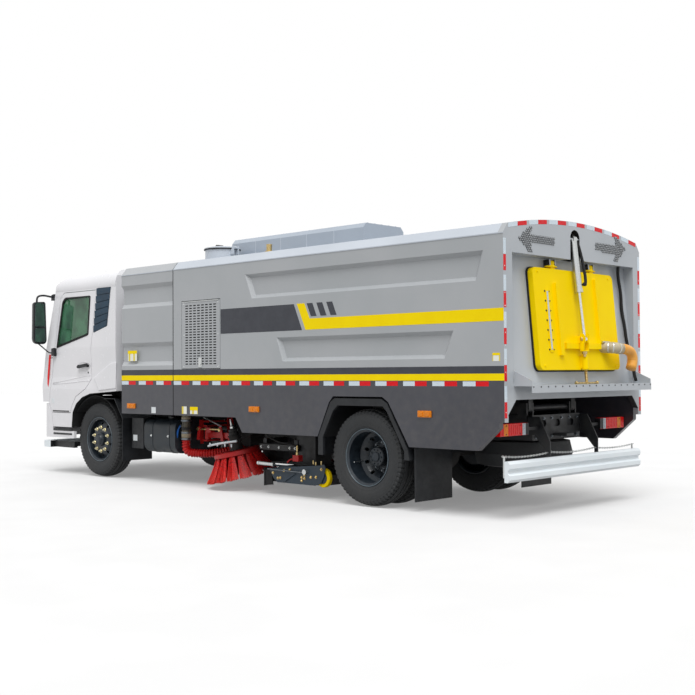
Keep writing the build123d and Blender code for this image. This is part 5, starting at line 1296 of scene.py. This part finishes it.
def side_fittings(side, word):
    """Marker lamps, blank notices, and the fittings of the grille door and the roof's shoulder."""
    for label, body, x in (("front", "chassis", -962), ("middle", "tipping_body", -3338),
                           ("rear", "tipping_body", -5842)):
        maker = bmesh.new()
        prism(maker, strip(ahead(x) - MARKER_WIDTH / 2, ahead(x) + MARKER_WIDTH / 2, 0.943, 1.007),
              on_side(side), 0.018)
        for k in (-1, 1):
            prism(maker, strip(ahead(x + 42 * k) - 0.026, ahead(x + 42 * k) + 0.026, 0.955, 0.995),
                  on_side(side, SIDE_Y + 0.018), 0.006)
        finish_piece(f"side_marker_{label}_{word}", maker, amber_lens, body, bevel_mm=4)
    # blank notices, some with a yellow head over a share of their height
    for label, body, low, high, head in (("module", "chassis", (-1077, 1.549), (-880, 1.683), 0.3),
                                         ("skirt_a", "tipping_body", (-2099, 0.896), (-2005, 0.986), 0.0),
                                         ("skirt_b", "tipping_body", (-2312, 0.898), (-2165, 0.984), 0.5),
                                         ("rear", "tipping_body", (-6740, 1.480), (-6655, 1.556), 0.3)):
        maker = bmesh.new()
        prism(maker, strip(ahead(low[0]), ahead(high[0]), low[1], high[1]), on_side(side), FILM)
        finish_piece(f"blank_notice_{label}_{word}", maker, notice_film, body)
        if head:
            maker = bmesh.new()
            prism(maker, strip(ahead(low[0]), ahead(high[0]), high[1] - head * (high[1] - low[1]), high[1]),
                  on_side(side, SIDE_Y + FILM), FILM)
            finish_piece(f"notice_head_{label}_{word}", maker, yellow_film, body)
    if side > 0:
        for label, x, z, y in (("skirt", -1430, 0.930, SIDE_Y), ("locker", -813, 0.555, 1.090)):
            maker = bmesh.new()
            label_outline = strip(ahead(x) - 0.045, ahead(x) + 0.045, z - 0.038, z + 0.038)
            prism(maker, label_outline, on_side(side, y), FILM)
            finish_piece(f"blank_label_{label}", maker, white_film, "chassis")
    # grille door: piano hinge, catch and screws
    maker = bmesh.new()
    tube(maker, run(side, (-2030, SIDE_Y + 0.002, 2.252), (-2708, SIDE_Y + 0.002, 2.252)), 0.0055)
    prism(maker, strip(ahead(-2400), ahead(-2338), 1.462, 1.572), on_side(side), 0.010)
    lathe(maker, ((0.018, 0.0), (0.018, 0.006), (0.012, 0.009)),
          (ahead(GRILLE_X), side * (SIDE_Y + 0.010), 1.500), (0, side, 0), 20)
    screws(maker, run(side, *((x, SIDE_Y, z) for x in (-2045, -2690) for z in (1.465, 1.85, 2.225))),
           (0, side, 0), 0.008, 0.003)
    finish_piece(f"grille_fittings_{word}", maker, zinc, f"grille_door_{word}")
    # seam under the roof's shoulder
    for body, front, rear in WALL_RUNS:
        maker = bmesh.new()
        prism(maker, strip(rear, front, 2.655, 2.664), on_side(side), 0.004)
        # the seam takes the roof's lighter copy of the grey: painted light
        finish_piece(f"shoulder_seam_{body}_{word}", maker, roof_grey_painted_light, body)


def module_gap_painted_shade():
    """Black rubber blocks in the gap between the front module and the tipping body, put there as painted shade
    of the gap.
    """
    maker = bmesh.new()
    for side in (-1, 1):
        side_block(maker, side, (-1839, -1827), (1.190, 1.2505), (0.890, 2.655))
    finish_piece("module_gap_painted_shade", maker, soft_rubber, "chassis")


module_gap_painted_shade()
for side, word in SIDES:
    side_fittings(side, word)


# ---- side brush, its arm and bracket -----------------------------------------------------------

BRUSH_Z = 0.460
BUNDLES = 16
WIRES = 104                    # in each bundle


def brush_frame(side):
    """The brush's centre and its three directions, the last one up its spindle."""
    axis = Vector((0.15, side * 0.143, 0.978)).normalized()
    first, second = across(axis)
    return Vector((ahead(BRUSH_X), side * BRUSH_Y, BRUSH_Z)), first, second, axis


def side_brush(side, word):
    """The disc and the wires of a side brush, bundle by bundle."""
    centre, first, second, axis = brush_frame(side)
    maker = bmesh.new()
    lathe(maker, ((0.020, 0.0), (0.265, 0.0), (0.283, -0.006), (0.286, -0.052), (0.278, -0.052),
                  (0.274, -0.030), (0.020, -0.030)), centre, axis, 48)
    disc = finish_piece(f"brush_disc_{word}", maker, red_enamel, f"brush_{word}", bevel_mm=1.5)
    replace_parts(disc, f"brush_{word}")
    draw = random.Random(41 + side)
    maker = bmesh.new()
    for bundle in range(BUNDLES):
        base = 2 * pi * (bundle + 0.5) / BUNDLES
        outward = cos(base) * first + sin(base) * second
        sideways = -sin(base) * first + cos(base) * second
        for wire in range(WIRES):
            share = (wire + 0.5) / WIRES * 2 - 1
            layer = draw.uniform(-1, 1)
            root_out, root_along = 0.246 + 0.012 * layer, 0.024 * share
            tip_out = 0.412 + 0.018 * layer + draw.uniform(-0.006, 0.006)
            tip_along = 0.074 * share + draw.uniform(-0.004, 0.004)
            drop = 0.312 + 0.012 * cos(1.4 * share) + draw.uniform(-0.012, 0.006)
            points = []
            for t in (0.0, 0.35, 0.7, 1.0):
                out = root_out + (tip_out - root_out) * (0.75 * t + 0.25 * t * t)
                along = root_along + (tip_along - root_along) * t
                points.append(centre + outward * out + sideways * along - axis * (0.030 + (drop - 0.030) * t))
            tube(maker, points, (0.0026, 0.0031, 0.0034, 0.0024), 3)
    finish_piece(f"brush_wires_{word}", maker, bristles, f"brush_{word}")


def brush_arm_fittings(side, word):
    """Spray bar, motor, grease cup, tie rod and hoses on the arm, and the post and chain it hangs from."""
    centre, first, second, axis = brush_frame(side)
    arm = f"brush_arm_{word}"
    maker = bmesh.new()
    bar = run(side, (-2204, 1.000, 0.500), (-2330, 1.040, 0.522), (-2560, 1.05, 0.556), (-2737, 1.00, 0.580))
    tube(maker, bent(bar, 0.08), 0.014, 12)
    for jet in run(side, *((x, 1.046, 0.545) for x in (-2290, -2430, -2570, -2690))):
        lathe(maker, ((0.009, 0.0), (0.009, -0.030), (0.004, -0.040)), jet, (0, 0, 1), 10)
    finish_piece(f"spray_bar_{word}", maker, white_enamel, arm)
    maker = bmesh.new()
    top = centre + axis * 0.171
    lathe(maker, ((0.060, 0.0), (0.060, 0.045), (0.052, 0.052), (0.052, 0.085), (0.030, 0.095)), top, axis, 24)
    for angle in (k * pi / 2 + 0.6 for k in range(4)):
        bolt(maker, top + (cos(angle) * first + sin(angle) * second) * 0.070, axis, 0.018)
    finish_piece(f"brush_motor_{word}", maker, cast_iron, arm, bevel_mm=1.5)
    maker = bmesh.new()
    lathe(maker, ((0.026, 0.0), (0.026, 0.030), (0.018, 0.040), (0.007, 0.120)), top + axis * 0.090, axis, 18)
    finish_piece(f"grease_cup_{word}", maker, zinc, arm, bevel_mm=1)
    maker = bmesh.new()
    tube(maker, run(side, (-1857, 0.875, 0.690), (-2300, 0.900, 0.700)), 0.012, 12)
    for eye in run(side, (-1870, 0.89, 0.694), (-2285, 0.89, 0.694)):
        lathe(maker, ((0.022, -0.014), (0.022, 0.014)), eye, (0, 1, 0), 14)
    finish_piece(f"arm_tie_rod_{word}", maker, brass_zinc, arm, bevel_mm=1)
    maker = bmesh.new()
    for x0, z0, x1, z1 in ((-2292, 0.735, -2336, 0.555), (-1890, 0.725, -1865, 0.560)):
        outline = ((ahead(x0) - 0.022, z0), (ahead(x0) + 0.022, z0), (ahead(x1) + 0.026, z1),
                   (ahead(x1) - 0.026, z1))
        prism(maker, outline, on_side(side, 0.876), 0.020)
    side_block(maker, side, (-2120, -2035), (0.84, 0.90), (0.655, 0.715))
    finish_piece(f"arm_links_{word}", maker, red_enamel, arm, bevel_mm=3)
    maker = bmesh.new()
    post = ((ahead(-1790), 0.500), (ahead(-1735), 0.500), (ahead(-1713), 0.800), (ahead(-1790), 0.800))
    prism(maker, post, on_side(side, 0.740), 0.014)
    side_block(maker, side, (-1905, -1735), (0.45, 0.75), (0.770, 0.790))
    finish_piece(f"bracket_post_{word}", maker, red_enamel, "chassis", bevel_mm=2)
    maker = bmesh.new()
    start, end = (Vector(place) for place in run(side, (-1850, 0.80, 0.835), (-2210, 0.80, 0.730)))
    along = (end - start).normalized()
    for k in range(22):
        turn = Vector((0, 0, 1)) if k % 2 else Vector((0, 1, 0))
        chain_link(maker, start.lerp(end, (k + 0.5) / 22), along, turn, (0.011, 0.006), 0.0022)
    finish_piece(f"arm_chain_{word}", maker, zinc, "chassis")
    maker = bmesh.new()
    ports = centre + axis * 0.10
    for port, line in ((0.08, ((-2400, 0.74, 0.70), (-2250, 0.62, 0.80), (-2150, 0.52, 0.86))),
                       (-0.08, ((-2780, 0.80, 0.66), (-2840, 0.66, 0.80), (-2800, 0.50, 0.86)))):
        start = ports + Vector((port, 0, 0.03))
        tube(maker, bent([start] + run(side, *line), 0.1), 0.011, 10)
    finish_piece(f"motor_hoses_{word}", maker, soft_rubber, arm, smooth=True)


for side, word in SIDES:
    side_brush(side, word)
    brush_arm_fittings(side, word)


# ---- corrugated hose, standpipe and valve ------------------------------------------------------

PIPE_X, PIPE_Y = ahead(-1765), 1.0
HOSE_STEP = 0.0046
RIDGE_STEPS = 7                # steps from one ridge of the hose to the next


def water_hose():
    """The ridged hose from the standpipe to the pump, the pipe's sleeve and rings, and its lever."""
    line = bent([(PIPE_X, PIPE_Y, 0.575), (PIPE_X, PIPE_Y, 0.400)]
                + run(1, (-2010, 0.830, 0.385), (-2150, 0.620, 0.420), (-2150, 0.392, 0.420)), 0.16, 14)
    fine = evenly(line, HOSE_STEP)
    radii = [0.0430 + 0.0125 * (0.5 + 0.5 * cos(2 * pi * k / RIDGE_STEPS)) for k in range(len(fine))]
    maker = bmesh.new()
    tube(maker, fine, radii, 22)
    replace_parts(finish_piece("corrugated_hose", maker, red_hose, "chassis", smooth=True), "side_hose")
    maker = bmesh.new()
    for z in (0.572, 0.650, 0.800):
        lathe(maker, ((0.060, -0.014), (0.064, -0.010), (0.064, 0.010), (0.060, 0.014)),
              (PIPE_X, PIPE_Y, z), (0, 0, 1), 28)
    tube(maker, [(PIPE_X + 0.04, 1.02, 0.735), (PIPE_X + 0.052, 1.052, 0.735)], 0.020, 12)
    finish_piece("standpipe_rings", maker, dull_steel, "chassis")
    maker = bmesh.new()
    lathe(maker, ((0.058, 0.0), (0.058, 0.085), (0.052, 0.095), (0.052, 0.215), (0.057, 0.225), (0.057, 0.300)),
          (PIPE_X, PIPE_Y, 0.575), (0, 0, 1), 32)
    finish_piece("standpipe_sleeve", maker, galvanised_pipe, "chassis", smooth=True)
    maker = bmesh.new()
    lever = bent([(PIPE_X + 0.050, 1.055, 0.738), (PIPE_X + 0.093, 1.060, 0.670),
                  (PIPE_X + 0.118, 1.062, 0.530)], 0.04)
    tube(maker, lever, [0.008 + 0.007 * min(1, k / 6) for k in range(len(lever))], 12)
    finish_piece("valve_lever", maker, blue_plastic, "chassis", smooth=True)


water_hose()


# ---- suction nozzle fittings -------------------------------------------------------------------

NOZZLE_SIDE_Y = 1.036          # outer face of the nozzle's end
NOZZLE_PLATE = 0.008


def nozzle_fittings(side, word):
    """Side plate, lift cylinder, push rod, valve, unions, hoses, corner flap and castor hub."""
    body = "suction_nozzle"
    maker = bmesh.new()
    plate = ((-3.376, 0.262), (-3.420, 0.192), (-3.488, 0.146), (-4.100, 0.146), (-4.189, 0.174),
             (-4.236, 0.250), (-4.259, 0.349), (-4.242, 0.386), (-4.180, 0.372), (-3.950, 0.352),
             (-3.319, 0.297))
    prism(maker, [(FRONT_AXLE_X + x, z) for x, z in plate], on_side(side, NOZZLE_SIDE_Y), NOZZLE_PLATE)
    side_block(maker, side, (-4150, -3330), (0.95, 1.04), (0.326, 0.334))
    prism(maker, ((ahead(-3620), 0.160), (ahead(-3580), 0.160), (ahead(-3760), 0.262), (ahead(-3800), 0.262)),
          on_side(side, NOZZLE_SIDE_Y + NOZZLE_PLATE), 0.012)
    finish_piece(f"nozzle_side_plate_{word}", maker, slate_paint, body, bevel_mm=2)
    maker = bmesh.new()
    for x, z in ((-3420, 0.250), (-3500, 0.195), (-3540, 0.200), (-3890, 0.225), (-3890, 0.190),
                 (-3935, 0.255), (-3935, 0.215), (-4035, 0.235), (-4115, 0.240), (-4200, 0.330),
                 (-3700, 0.300), (-3600, 0.285)):
        bolt(maker, (ahead(x), side * (NOZZLE_SIDE_Y + NOZZLE_PLATE), z), (0, side, 0), 0.022)
    finish_piece(f"nozzle_bolts_{word}", maker, brass_zinc, body)
    maker = bmesh.new()
    tube(maker, run(side, (-3188, 1.06, 0.352), (-3446, 1.06, 0.346)), 0.021, 16)
    for end in run(side, (-3195, 1.06, 0.352), (-3440, 1.06, 0.346)):
        lathe(maker, ((0.025, -0.012), (0.025, 0.012)), end, (1, 0, 0), 16)
    lathe(maker, ((0.030, -0.02), (0.030, 0.02)), (ahead(-3960), side * 1.06, 0.290), (0, 1, 0), 16)
    finish_piece(f"nozzle_lift_cylinder_{word}", maker, zinc, body, bevel_mm=1)
    maker = bmesh.new()
    tube(maker, run(side, (-3350, 1.066, 0.292), (-3985, 1.066, 0.282)), 0.007, 10)
    finish_piece(f"nozzle_push_rod_{word}", maker, dull_steel, body)
    maker = bmesh.new()
    side_block(maker, side, (-3805, -3711), (0.945, 1.015), (0.392, 0.462))
    pipe = run(side, (-3712, 0.98, 0.42), (-3640, 0.99, 0.405), (-3610, 1.0, 0.37))
    tube(maker, bent(pipe, 0.03), 0.010, 10)
    finish_piece(f"nozzle_valve_block_{word}", maker, red_enamel, body, bevel_mm=3)
    maker = bmesh.new()
    lathe(maker, ((0.016, 0.0), (0.016, 0.03), (0.010, 0.04), (0.010, 0.105)),
          (ahead(-3752), side * 0.98, 0.462), (0, 0, 1), 14)
    for x, z in ((-4020, 0.40), (-4060, 0.385), (-4145, 0.40)):
        lathe(maker, ((0.013, 0.0), (0.013, 0.012), (0.008, 0.014), (0.008, 0.070)),
              (ahead(x), side * 0.99, z - 0.055), (0, 0, 1), 12)
    finish_piece(f"nozzle_fittings_{word}", maker, brass_zinc, body)
    maker = bmesh.new()
    upper = run(side, (-3752, 0.98, 0.56), (-3650, 0.97, 0.575), (-3400, 0.94, 0.590), (-3190, 0.92, 0.650),
                (-3120, 0.90, 0.720))
    tube(maker, bent(upper, 0.08), 0.010, 10)
    lower = run(side, (-3300, 0.96, 0.36), (-3500, 0.97, 0.372), (-3800, 0.99, 0.36), (-4040, 1.0, 0.365))
    tube(maker, bent(lower, 0.08), 0.009, 10)
    finish_piece(f"nozzle_hoses_{word}", maker, soft_rubber, body, smooth=True)
    maker = bmesh.new()
    wavy = [(ahead(-3250) + 0.010 * sin(k * 0.9), side * 0.955 + side * 0.085 * k / 6) for k in range(7)]
    prism(maker, wavy + [(x - 0.010, y) for x, y in reversed(wavy)], lambda x, y, height: (x, y, height),
          0.300 - 0.095, 0.095)
    prism(maker, ((ahead(-3250), 0.098), (ahead(-3400), 0.112), (ahead(-3372), 0.262), (ahead(-3252), 0.290)),
          on_side(side, 1.020), 0.010)
    finish_piece(f"nozzle_corner_flap_{word}", maker, soft_rubber, body)
    maker = bmesh.new()
    lathe(maker, ((0.066, 0.0), (0.066, 0.005), (0.040, 0.008), (0.018, 0.012)),
          (ahead(-4195), side * 1.021, 0.235), (0, side, 0), 28)
    finish_piece(f"caster_hub_{word}", maker, slate_paint, f"nozzle_wheel_{word}", bevel_mm=1)


def nozzle_hangers():
    """Black beams and hanger plates on the frame rails that carry the nozzle's lift."""
    maker = bmesh.new()
    for side in (-1, 1):
        hanger = ((ahead(-2640), 0.760), (ahead(-2560), 0.470), (ahead(-2560), 0.290), (ahead(-3360), 0.285),
                  (ahead(-3420), 0.760))
        prism(maker, hanger, on_side(-side, -0.440), 0.012)
        side_block(maker, side, (-3600, -2960), (0.76, 0.84), (0.485, 0.555))
        for x in (-3010, -3540):
            side_block(maker, side, (x - 30, x + 30), (0.44, 0.80), (0.556, 0.616))
        side_block(maker, side, (-3570, -2980), (0.44, 0.47), (0.556, 0.760))
    finish_piece("nozzle_hangers", maker, black_paint, "chassis", bevel_mm=3)
    maker = bmesh.new()
    for side in (-1, 1):
        for x in (-2990, -3120, -3300, -3480, -3570):
            bolt(maker, (ahead(x), side * 0.84, 0.520), (0, side, 0), 0.020)
    finish_piece("hanger_bolts", maker, zinc, "chassis")


for side, word in SIDES:
    nozzle_fittings(side, word)
nozzle_hangers()


# ---- under the body: tank, frame and tail ------------------------------------------------------

def frame_trim():
    """Tank cap, brake chambers, the frame's bolts, a light chain and the under-run bar's fixings."""
    maker = bmesh.new()
    lathe(maker, ((0.050, 0.0), (0.050, 0.030), (0.044, 0.036), (0.018, 0.038)), (ahead(-1300), 0.86, 0.810),
          (0, 0.25, 1), 28)
    for x in (-1180, -1530):
        bolt(maker, (ahead(x), 1.104, 0.598), (0, 1, 0), 0.020)
    finish_piece("tank_cap_and_strap_bolts", maker, zinc, "chassis")
    maker = bmesh.new()
    for side in (-1, 1):
        lathe(maker, ((0.030, -0.09), (0.074, -0.075), (0.080, -0.02), (0.086, -0.012), (0.086, 0.012),
                      (0.080, 0.02), (0.074, 0.075), (0.030, 0.09)),
              (REAR_AXLE_X - 0.21, side * 0.36, 0.60), (0.3, side, 0), 24)
        tube(maker, bent([(REAR_AXLE_X - 0.21, side * 0.34, 0.68), (REAR_AXLE_X - 0.30, side * 0.35, 0.84),
                          (REAR_AXLE_X - 0.42, side * 0.40, 0.90)], 0.1), 0.009, 8)
    finish_piece("brake_chambers", maker, cast_iron, "chassis", bevel_mm=1)
    maker = bmesh.new()
    for side in (-1, 1):
        for row in range(6):
            spot = (ahead(-6529), side * (0.09 + 0.14 * (row // 2)), 0.735 + 0.180 * (row % 2))
            bolt(maker, spot, (-1, 0, 0), 0.022)
        for x in (-3450, -3950, -1950):
            for z in (0.735, 0.795):
                bolt(maker, (ahead(x) + 0.03, side * 0.498, z), (0, side, 0), 0.018)
        for k in range(5):
            bolt(maker, (ahead(-6520 + 45 * k), side * 0.431, 0.82), (0, side, 0), 0.020)
    finish_piece("frame_bolts", maker, dull_steel, "chassis")
    maker = bmesh.new()
    spots = [Vector((ahead(-6716), 1.20 - 2.40 * k / 96, 0.600 - 0.020 * (1 - ((k % 32) / 16 - 1) ** 2)))
             for k in range(97)]
    for k, (last, spot) in enumerate(zip(spots, spots[1:])):
        turn = Vector((1, 0, 0)) if k % 2 else Vector((0, 0, 1))
        chain_link(maker, (spot + last) / 2, (spot - last).normalized(), turn, (0.016, 0.008), 0.003)
    finish_piece("tail_chain", maker, zinc, "chassis")
    maker = bmesh.new()
    for side in (-1, 1):
        side_block(maker, side, (-6742, -6728), (0.40, 0.46), (0.372, 0.545))
        lathe(maker, ((0.010, 0.0), (0.010, 0.20)), (ahead(-6716), side * 1.17, 0.40), (0, 0, 1), 10)
    finish_piece("bar_fixings", maker, zinc, "chassis", bevel_mm=1)


FLUTE_PITCH = 0.030            # between the upright ribs of a tail lamp's lens
LENSES = (("white", clear_lens, 0.712, 0.762), ("brake", red_lens, 0.766, 0.993),
          ("amber", amber_lens, 0.997, 1.062), ("end", red_lens, 1.066, 1.128))
LENS_Z = (0.777, 0.888)
LENS_BACK_X = ahead(-6630)


def lamp_bezels():
    """Ribbed lenses over the tail lamps, their screws, and rims round the headlamps."""
    for side, word in SIDES:
        for label, finish, low, high in LENSES:
            maker = bmesh.new()
            prism(maker, strip(*sorted((side * low, side * high)), *LENS_Z), on_tail(LENS_BACK_X), 0.014)
            flutes = max(1, int((high - low) / FLUTE_PITCH))
            for k in range(flutes):
                y = side * (low + (high - low) * (k + 0.5) / flutes)
                prism(maker, strip(y - 0.004, y + 0.004, 0.785, 0.880), on_tail(ahead(-6644)), 0.003)
            finish_piece(f"tail_lamp_{label}_{word}", maker, finish, "chassis", bevel_mm=2)
        maker = bmesh.new()
        screws(maker, run(side, *((-6647, y, z) for y in (0.80, 1.03) for z in (0.792, 0.873))),
               (-1, 0, 0), 0.007, 0.003)
        prism(maker, strip(*sorted((side * 0.655, side * 0.709)), *LENS_Z), on_tail(LENS_BACK_X), 0.010)
        finish_piece(f"tail_lamp_screws_{word}", maker, black_plastic, "chassis")
        maker = bmesh.new()
        frame_round(maker, strip(side * 0.76, side * 1.08, 0.705, 0.848), 0.010, 0.008,
                    lambda y, z, depth: (ahead(1374 if abs(y) < 0.95 else 1352) + depth, y, z), 0.0, 0.016)
        finish_piece(f"headlamp_rim_{word}", maker, zinc, "chassis", bevel_mm=1)


def roof_trim():
    """Seams and bolts of the cowl, a pipe stub, and the hatch's rim and handle."""
    maker = bmesh.new()
    for x in (-2350, -2810, -3270, -3730):
        for side in (-1, 1):
            side_block(maker, side, (x - 4, x + 4), (0.346, 0.353), (2.87, 3.045))
        block(maker, (ahead(x) - 0.004, -0.300, 3.098), (ahead(x) + 0.004, 0.300, 3.103))
    for x in (-1930, -4170):
        for k in range(5):
            bolt(maker, (ahead(x), -0.24 + 0.12 * k, 3.100), (0, 0, 1), 0.016)
    # the seams and bolts take the roof's lighter copy of the grey: painted light on the top
    finish_piece("cowl_seams", maker, roof_grey_painted_light, "tipping_body", bevel_mm=1)
    maker = bmesh.new()
    for profile in (((0.034, 0.0), (0.034, 0.09), (0.038, 0.092), (0.038, 0.10), (0.020, 0.104)),
                    ((0.052, 0.0), (0.052, 0.016), (0.046, 0.02))):
        lathe(maker, profile, (ahead(-2900), 0.62, 2.835), (0, 0, 1), 20)
    finish_piece("roof_pipe_stub", maker, brass_zinc, "tipping_body", bevel_mm=1)
    maker = bmesh.new()
    centre = Vector((ahead(-2070), 0.66, 2.925))
    hoop(maker, ((0.224, -0.002), (0.230, 0.0), (0.230, 0.012), (0.224, 0.014), (0.218, 0.006)),
         centre, (0, 0, 1))
    handle = [(centre.x + 0.05, y, z)
              for y, z in ((0.60, 2.964), (0.60, 2.992), (0.72, 2.992), (0.72, 2.964))]
    tube(maker, bent(handle, 0.02), 0.007, 10)
    finish_piece("hatch_rim_and_handle", maker, soft_rubber, "roof_hatch")


frame_trim()
lamp_bezels()
roof_trim()


# ---- studio ------------------------------------------------------------------------------------

def seen_directly(tree):
    """One for the rays that show the studio itself: straight, through glass or in a reflection."""
    rays = add_node(tree, "LightPath").outputs
    seen = add_node(tree, "Math", {"Value": rays["Is Camera Ray"]}, operation="MAXIMUM")
    tree.links.new(rays["Is Transmission Ray"], seen.inputs[1])
    either = add_node(tree, "Math", {"Value": seen}, operation="MAXIMUM")
    tree.links.new(rays["Is Glossy Ray"], either.inputs[1])
    return either


SKY_LEVEL = 0.63               # light from all round
KEY_LEVEL = 0.78               # light from the softbox high off the left rear corner
FLOOR_GLOW = 0.38              # lifts the floor to white where it is looked at, and leaves its shadow
FLOOR_REACH = 60


def floor_and_light():
    """A plain pale floor, an even white world and one soft lamp."""
    maker = bmesh.new()
    for x, y in ((-1, -1), (1, -1), (1, 1), (-1, 1)):
        maker.verts.new((x * FLOOR_REACH, y * FLOOR_REACH, -0.001))
    maker.faces.new(maker.verts)
    mesh = bpy.data.meshes.new("floor")
    maker.to_mesh(mesh)
    maker.free()
    floor = bpy.data.objects.new("floor", mesh)
    bpy.context.scene.collection.objects.link(floor)
    # the floor looks pale and throws only a little light back up under the truck
    material, tree, where = start_material("rolled_floor_paint")
    seen = seen_directly(tree)
    roller = add_node(tree, "TexNoise", {"Vector": where, "Scale": 1000 / 900})
    streak = add_node(tree, "MapRange", {"Value": roller, "From Min": 0.4, "From Max": 0.6})
    pale = add_node(tree, "Mix", {"Factor": streak, "A": "#CCCCCC", "B": "#CACACA"}, data_type="RGBA")
    paint = add_node(tree, "Mix", {"Factor": seen, "A": "#A0A0A0", "B": pale}, data_type="RGBA")
    glow = add_node(tree, "MapRange", {"Value": seen, "To Min": 0.0, "To Max": FLOOR_GLOW})
    shader = add_node(tree, "BsdfPrincipled", {"Base Color": paint, "Emission Color": pale,
                                               "Emission Strength": glow, "Roughness": 0.85, "IOR": 1.3,
                                               "Specular IOR Level": 0.1})
    add_node(tree, "OutputMaterial", {"Surface": shader})
    mesh.materials.append(material)

    world = bpy.data.worlds.new("studio")
    bpy.context.scene.world = world
    world.use_nodes = True
    tree = world.node_tree
    tree.nodes.clear()
    strength = add_node(tree, "MapRange", {"Value": seen_directly(tree), "To Min": SKY_LEVEL, "To Max": 1.0})
    shine = add_node(tree, "Background", {"Color": "#FFFFFF", "Strength": strength})
    add_node(tree, "OutputWorld", {"Surface": shine})

    lamp = bpy.data.lights.new("high_softbox", "SUN")
    lamp.energy = KEY_LEVEL * pi
    lamp.angle = radians(40)
    held = bpy.data.objects.new("high_softbox", lamp)
    bpy.context.scene.collection.objects.link(held)
    held.location = (-8, 8, 14)
    held.rotation_euler = Vector((0.36, -0.35, -0.87)).to_track_quat("-Z", "Y").to_euler()


floor_and_light()
bpy.context.scene.view_settings.view_transform = "Standard"
